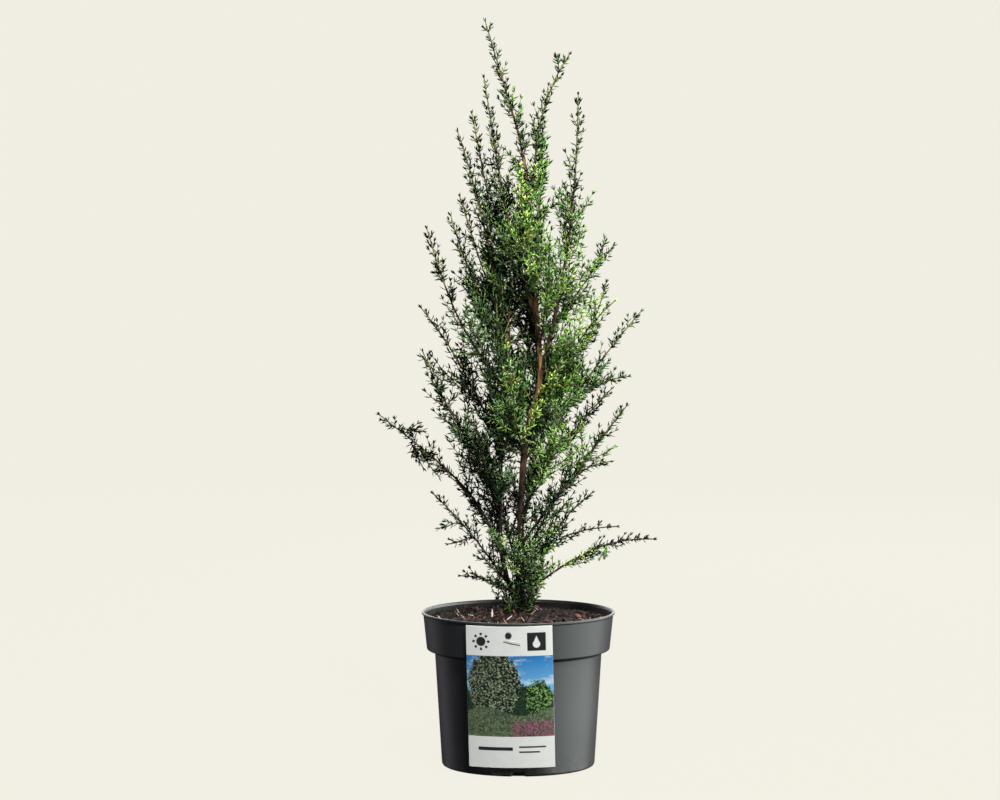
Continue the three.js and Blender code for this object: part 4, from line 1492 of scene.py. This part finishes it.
def make_needles(spines, shoots, masses):
    """The needles of every limb and shoot, joined by their green."""
    needled = [off_the_limb(shoot) for shoot in shoots]
    for spray, spine in spines:
        needled.extend(cut_spine(spray, spine))
    whorls = needle_growth()
    needle = needle_object()
    size = {"Shortest": NEEDLE["shortest"], "Longest": NEEDLE["longest"]}
    size |= {"Narrow": math.radians(NEEDLE["narrow"]), "Wide": math.radians(NEEDLE["wide"])}
    lowest = -math.inf
    for number, (kind, (freshest, shade, light, band)) in enumerate(GREENS.items()):
        chosen = [twig for twig in needled if lowest <= twig.tone < freshest]
        lowest = freshest
        finish = needle_finish(f"needles_{kind}", shade, light, band)
        for i, batch in enumerate(in_batches(chosen, MOST_TRIANGLES // (3 * NEEDLE_TRIANGLES))):
            name, seed = f"needles_{kind}_{i + 1}", NEEDLE["seeds"] * number + i
            start = lines_object("needle_lines", batch, turn=turns, closing=closings, size=needle_sizes)
            made = grown(name, start, whorls, Needle=needle, Seed=seed, Material=finish, **size)
            keep(made, "foliage", *masses)
    bpy.data.objects.remove(needle)


def make_foliage(tubes):
    """Twigs and needles of every spray, joined by kind. Together they stand for all the masses."""
    spines, shoots = grow_crown()
    masses = [f"foliage_{spray.name}" for spray in sprays]
    make_twigs(spines, shoots, masses, tubes)
    make_needles(spines, shoots, masses)


# Bare wood

# Its length in mm between points, and the fewest lengths
WOOD_STEP = 1.4
WOOD_STEPS = 4


def wood_line(course, girth, top):
    """Bare wood from a course's foot to a distance along it, with a point at each small step."""
    count = max(WOOD_STEPS, round(top / WOOD_STEP))
    steps = [top * i / count for i in range(count + 1)]
    points = [course.point(distance) for distance in steps]
    return Twig(points, girths=[girth(distance) for distance in steps])


def make_wood(tubes):
    """The trunk, the side stem and the bare feet of the boughs, which have the side stem's bark."""
    finishes = (bark_finish("stem_bark"), bark_finish("bough_bark"))
    for (name, stem), finish in zip(stems.items(), finishes):
        start = lines_object("stem_line", [wood_line(stem.course, stem.girth, stem.top)], girth=girths)
        keep(grown(f"{name}_bark", start, tubes, Material=finish, **WOOD["stem"]), "bark", name)
    bare = [limb for limb in limbs if limb.start]
    boughs = [wood_line(limb.course, limb.girth, limb.start) for limb in bare]
    start = lines_object("bough_lines", boughs, girth=girths)
    made = grown("bough_bark", start, tubes, Material=finishes[1], **WOOD["bough"])
    keep(made, "bark", *(f"bough_{limb.name}" for limb in bare))


# Pot

POT = {
    "height": 152.0,
    "rim": 95.0,
    "lip": 1.3,
    "band_foot": 115.0,
    "band_taper": 0.103,
    "body_top": 82.2,
    "foot": 75.2,
    "wall": 1.4,
    "floor": 3.0,
    "hollow": (56.0, 2.4),
    "foot_ring": 62.0,
    "sides": 192,
}
# Drain notches: they reach in from the foot's edge, and rise by a slope from the height of their cut
NOTCH = {"count": 3, "half_angle": 0.09, "height": 4.6, "deep": 6.4, "reach": 0.9, "slope": 0.1}


def band_radius(z):
    """The rim band's outer radius at a height."""
    return POT["rim"] - POT["lip"] - (POT["height"] - POT["lip"] - z) * POT["band_taper"]


def body_radius(z):
    """The body's outer radius at a height."""
    return POT["foot"] + (POT["body_top"] - POT["foot"]) * z / (POT["band_foot"] - POT["lip"])


def inside_radius(z):
    return (body_radius(z) if z < POT["band_foot"] else band_radius(z)) - POT["wall"]


def foot_notches(corner):
    """A point's height, lifted on the outer part of the foot ring where a drain notch cuts it."""
    pitch = 2 * math.pi / NOTCH["count"]
    turn = ((math.atan2(corner.y, corner.x) + math.pi / 2) / pitch + 0.5) % 1 - 0.5
    outer = math.hypot(corner.x, corner.y) > body_radius(0) - NOTCH["deep"] * NOTCH["reach"]
    if abs(turn) * pitch < NOTCH["half_angle"] and outer and corner.z < NOTCH["height"]:
        return NOTCH["height"] + corner.z * NOTCH["slope"]
    return corner.z


def make_pot():
    """One shell with a rim band, a thin lip, notches in its foot ring and a duller inside.

    Its rows are radius, height and fillet, from under the pot up its outside and down its inside.
    """
    height, lip, wall = POT["height"], POT["lip"], POT["wall"]
    band_foot, floor = POT["band_foot"], POT["floor"]
    step = band_foot + wall
    rows = [
        (0, POT["hollow"][1], 0),
        (*POT["hollow"], 0),
        (POT["foot_ring"], 0, 0.6),
        (body_radius(0) - NOTCH["deep"], 0, 0),
        (body_radius(0), 0, 3.2),
        (body_radius(60), 60, 0),
        (body_radius(band_foot - 2.2), band_foot - 2.2, 2.2),
        (band_radius(band_foot), band_foot, 1.4),
        (band_radius(height - lip * 2), height - lip * 2, 0.8),
        (POT["rim"], height - lip * 1.6, 0.5),
        (POT["rim"], height, 0.7),
        (POT["rim"] - lip * 1.7, height, 0.6),
        (band_radius(height - lip * 2.4) - wall, height - lip * 2.4, 0.8),
        (band_radius(step) - wall, step, 1.2),
        (body_radius(step) - wall, step - 0.4, 1.0),
        (body_radius(floor) - wall, floor + NOTCH["height"], 2.0),
        (0, floor + NOTCH["height"], 0),
    ]
    made = turned("pot_shell", rounded(rows), POT["sides"], pot_finish(), foot_notches)
    made.data.materials.append(inside_finish())
    for face in made.data.polygons:
        outward = face.normal.x * face.center.x + face.normal.y * face.center.y
        faces_in = outward < -0.5 * math.hypot(face.center.x, face.center.y)
        if faces_in and face.center.z < (height - lip * 2) * MM:
            face.material_index = 1
    keep(made, "pot", "pot")


# Soil: a rough mound with bark mulch on it

# The mound's crest and edge, its spread in domes, the rough top's height and clods, and at its foot and
# at the pot's step how far the peat stays clear of the wall
SOIL = {
    "crest": 149.6,
    "edge": 143.6,
    "dome": 66.0,
    "spread": 1.6,
    "gap": 0.4,
    "rough": 3.4,
    "clod": 13,
    "fractal": (0.9, 2.1, 4),
    "foot": (2.4, 0.3),
    "step": (1.0, 1.2),
    "rough_above": 4,
    "rough_inside": 0.1,
    "sides": 120,
    "rings": 30,
}


def soil_height(radius):
    """The height of the mound at a distance from the middle, level at the edge."""
    share = min(radius / SOIL["dome"], SOIL["spread"]) / SOIL["spread"]
    return SOIL["edge"] + (SOIL["crest"] - SOIL["edge"]) * 0.5 * (1 + math.cos(math.pi * share))


def bump_at(spot):
    """How far the rough ground rises over the mound."""
    return SOIL["rough"] * noise.fractal(Vector((spot.x, spot.y, 0)) / SOIL["clod"], *SOIL["fractal"])


def make_soil():
    """The peat that fills the pot, with its rough top, and the mulch on it."""
    reach = inside_radius(SOIL["edge"]) - SOIL["gap"]
    step = POT["band_foot"] + POT["wall"]
    below, above = (step + rise for rise in SOIL["step"])
    clear, lifted = SOIL["foot"]
    bottom = POT["floor"] + NOTCH["height"] + lifted
    rows = [
        (0, bottom),
        (body_radius(bottom) - POT["wall"] - clear, bottom),
        (body_radius(step) - POT["wall"] - SOIL["gap"], below),
        (band_radius(step) - POT["wall"] - SOIL["gap"], above),
    ]
    for i in range(SOIL["rings"]):
        radius = reach * (1 - i / SOIL["rings"])
        rows.append((radius, soil_height(radius)))
    rows.append((0, soil_height(0)))
    made = turned("peat", rows, SOIL["sides"], peat_finish())
    for vertex in made.data.vertices:
        spot = vertex.co / MM
        off_wall = reach - math.hypot(spot.x, spot.y)
        if spot.z > step + SOIL["rough_above"] and off_wall > SOIL["rough_inside"]:
            vertex.co.z += bump_at(spot) * MM
    made.data.update()
    keep(made, "soil", "soil")
    make_mulch(reach)


# Mulch: name, chip size in mm, the least gap, chips for each square metre, smallest, largest, tilt, colours
MULCH = [
    ("mulch_crumbs", (3.2, 2.2, 1.8), 1.6, 40_000, 0.5, 1.3, 1.2, "#040302", "#281c18"),
    ("mulch_dark", (13.0, 3.6, 2.6), 3.6, 12_000, 0.45, 1.3, 0.9, "#050302", "#2c1f1a"),
    ("mulch_red", (13.0, 2.8, 2.0), 5.0, 6_200, 0.42, 1.25, 0.95, "#1c0c0a", "#8e5c4f"),
    ("mulch_pale", (18.0, 1.5, 1.2), 10.0, 2_800, 0.35, 1.1, 0.9, "#6e5850", "#dcc6ba"),
]
# The ground they are strewn on, the share of a chip's length that it stays off the wall, and the first seed
MULCH_GROUND = {"sides": 48, "rings": 12, "off_wall": 0.62, "seed": 40}


# A chip's outline in shares of its length and width, and how far its back draws in, rises and leans
CHIP_OUTLINE = [(-0.5, -0.1), (-0.28, -0.5), (0.3, -0.42), (0.5, 0.12), (0.22, 0.5), (-0.36, 0.38)]
CHIP_BACK = {"length": 0.86, "width": 0.8, "rise": 0.25, "lean": 0.3, "crest": (0.1, 0.02, 0.62)}


def chip_object(name, size):
    """One splinter of bark: an uneven sliver with a raised back."""
    length, width, thick = size
    long, wide, rise, lean, crest = CHIP_BACK.values()
    corners = [(x * length, y * width, -thick / 2) for x, y in CHIP_OUTLINE]
    corners += [(x * length * long, y * width * wide, thick * (rise + lean * y)) for x, y in CHIP_OUTLINE]
    corners += [tuple(share * side for share, side in zip(crest, size)), (0, 0, -thick / 2)]
    sides = len(CHIP_OUTLINE)
    top, bottom = 2 * sides, 2 * sides + 1
    faces = []
    for k in range(sides):
        after = (k + 1) % sides
        faces.append((k, after, sides + after, sides + k))
        faces.append((sides + k, sides + after, top))
        faces.append((after, k, bottom))
    return plain_object(name, [Vector(corner) * MM for corner in corners], faces)


def mulch_ground(reach):
    """The disc of ground that the chips of one kind lie on."""
    sides, rings = MULCH_GROUND["sides"], MULCH_GROUND["rings"]
    radii = [reach * k / rings for k in range(1, rings + 1)]
    corners = ring_points([(radius, soil_height(radius)) for radius in radii], sides)
    corners = [Vector((0, 0, soil_height(0))), *(corner + UP * bump_at(corner) for corner in corners)]
    faces = [(0, 1 + i, 1 + (i + 1) % sides) for i in range(sides)]
    faces += ring_faces(rings, sides, 1, flipped=True)
    return plain_object("mulch_ground", [corner * MM for corner in corners], faces)


def make_mulch(reach):
    """Chips of each kind, strewn over the mound."""
    scatter = chip_growth()
    for number, (name, size, apart, density, smallest, largest, tilt, dark, light) in enumerate(MULCH):
        chip = chip_object(f"{name}_chip", size)
        ground = mulch_ground(reach - size[0] * largest * MULCH_GROUND["off_wall"])
        strewn = {"Apart": apart * MM, "Density": float(density), "Seed": MULCH_GROUND["seed"] + number}
        sizes = {"Smallest": smallest, "Largest": largest, "Tilt": tilt}
        finish = chip_finish(name, dark, light)
        made = grown(name, ground, scatter, Chip=chip, Material=finish, **strewn, **sizes)
        made.data.shade_flat()
        bpy.data.objects.remove(chip)
        keep(made, "soil", "soil")


# Label

CLEAR = 0.3
PEG = {
    "head": 3.1,
    "height": 1.5,
    "shank": 1.2,
    "sunk": 0.6,
    "off_card": 0.05,
    "below_top": 8.5,
    "sides": 40,
}
# The stud's head with its dimple: share of its radius, share of its height, and fillet
PEG_HEAD = [(1, 0, 0.15), (1, 0.55, 0.5), (0.62, 1, 0.4), (0.38, 1, 0.2), (0.24, 0.45, 0.2), (0, 0.45, 0)]
# The tab's middle is across and down the card from the top middle, and its ends stand out less
TAB = {"length": 16.5, "centre": (3.0, -15.6), "slope": -12.5, "ends": 0.3, "steps": 10}
# The two strips of the tab: width, shift across it, and the lower and upper side's height over the card
# The slot's strip is dark plastic flat on the card: the cut, and a painted shadow under the tongue
SLOT_AND_SHADOW = (2.3, -0.55, -0.05, 0.06)
TONGUE = (2.0, 0.3, 0.1, 0.9)


def card_frame():
    """The place of the card's top middle, facing outwards along its own -Y."""
    face = band_radius(CARD["top"]) + CLEAR
    return (
        Matrix.Translation((0, 0, CARD["top"]))
        @ Matrix.Rotation(math.asin(CARD["off_centre"] / face), 4, "Z")
        @ Matrix.Translation((0, -face, 0))
        @ Matrix.Rotation(math.atan(POT["band_taper"]), 4, "X")
        @ Matrix.Rotation(math.radians(-CARD["tilt"]), 4, "Y")
    )


def on_card(across, down, out=0.0):
    """A point on the bent card, from its middle line and top edge, standing out from its inner face."""
    angle = across / CARD["bend_radius"]
    radius = CARD["bend_radius"] + out
    bent = Vector((radius * math.sin(angle), CARD["bend_radius"] - radius * math.cos(angle), -down))
    return card_frame() @ bent * MM


def make_card():
    """The bent card: a printed face, and plain plastic at its back and edges."""
    columns, rows, bevel = CARD["columns"], CARD["rows"], CARD["bevel"]

    def sheet(out, inset):
        made = []
        for j in range(rows + 1):
            for i in range(columns + 1):
                across = (CARD["width"] - 2 * inset) * (i / columns - 0.5)
                down = inset + (CARD["height"] - 2 * inset) * j / rows
                made.append(on_card(across, down, out))
        return made

    layers = [sheet(0, bevel), sheet(bevel, 0), sheet(CARD["thick"] - bevel, 0), sheet(CARD["thick"], bevel)]
    count = len(layers[0])
    rim = [(i, 0) for i in range(columns)]
    rim += [(columns, j) for j in range(rows)]
    rim += [(columns - i, rows) for i in range(columns)]
    rim += [(0, rows - j) for j in range(rows)]
    number = {spot: spot[1] * (columns + 1) + spot[0] for spot in rim}
    front = 3 * count
    faces = []
    for j in range(rows):
        for i in range(columns):
            a = j * (columns + 1) + i
            b, c, d = a + 1, a + columns + 2, a + columns + 1
            faces.append((front + a, front + d, front + c, front + b))
            faces.append((a, b, c, d))
    for layer in range(3):
        for here, there in zip(rim, rim[1:] + rim[:1]):
            a, b = number[here] + layer * count, number[there] + layer * count
            faces.append((a, a + count, b + count, b))
    corners = [corner for layer in layers for corner in layer]
    finishes = (print_finish(), plain_card_finish("card_plastic", "#c8cecd"))
    made = plain_object("label_card", corners, faces, *finishes)
    chart = made.data.uv_layers.new(name="card")
    for face in made.data.polygons:
        face.material_index = 0 if min(face.vertices) >= front else 1
        for loop, vertex in zip(face.loop_indices, face.vertices):
            spot = vertex % count
            chart.data[loop].uv = ((spot % (columns + 1)) / columns, (spot // (columns + 1)) / rows)
    smooth(made)
    keep(made, "label", "label")


def make_peg():
    """The stud that holds the card, with a dimple in its round head."""
    base = CARD["thick"] + PEG["off_card"]
    shank, sunk = PEG["shank"], PEG["sunk"]
    rows = [(0, -sunk, 0), (shank, -sunk, 0.2), (shank, base, 0)]
    rows += [(PEG["head"] * wide, base + PEG["height"] * high, fillet) for wide, high, fillet in PEG_HEAD]
    made = turned("label_stud", rounded(rows), PEG["sides"], stud_finish())
    outward = Matrix.Translation((0, 0, -PEG["below_top"] * MM)) @ Matrix.Rotation(math.pi / 2, 4, "X")
    place = card_frame()
    place.translation *= MM
    made.data.transform(place @ outward)
    keep(made, "peg", "label_peg")


def make_tab():
    """A narrow tongue cut in the card under the stud, bent out a little, beside a dark strip of plastic that
    stands for its slot and is a painted shadow under the tongue.
    """
    slope = math.radians(TAB["slope"])
    along = Vector((math.cos(slope), math.sin(slope)))
    beside = Vector((-along.y, along.x))
    centre = Vector(TAB["centre"])

    def strip_object(name, form, finish):
        width, shift, low, high = form
        steps = TAB["steps"]
        corners = []
        for i in range(steps + 1):
            share = i / steps
            bulge = TAB["ends"] + (1 - TAB["ends"]) * math.sin(math.pi * share)
            for side, level in ((-1, low), (1, low), (1, high), (-1, high)):
                spot = centre + along * TAB["length"] * (share - 0.5)
                spot = spot + beside * (side * width / 2 + shift)
                corners.append(on_card(spot.x, -spot.y, CARD["thick"] + level * bulge))
        faces = [(3, 2, 1, 0), tuple(range(4 * steps, 4 * steps + 4))]
        for i in range(steps):
            for k in range(4):
                a, b = 4 * i + k, 4 * i + (k + 1) % 4
                faces.append((a, b, b + 4, a + 4))
        made = plain_object(name, corners, faces, finish)
        keep(smooth(made), "label")

    # A dark strip on the card: the slot, and a painted shadow under the tongue
    strip_object("label_slot", SLOT_AND_SHADOW, stud_finish())
    strip_object("label_tongue", TONGUE, plain_card_finish("tongue", "#8e9494"))


# The whole scene

bpy.context.scene.view_settings.view_transform = "Standard"
make_camera()
make_lights()
make_floor()
tubes = tube_growth()
make_wood(tubes)
make_foliage(tubes)
make_pot()
make_soil()
make_card()
make_peg()
make_tab()
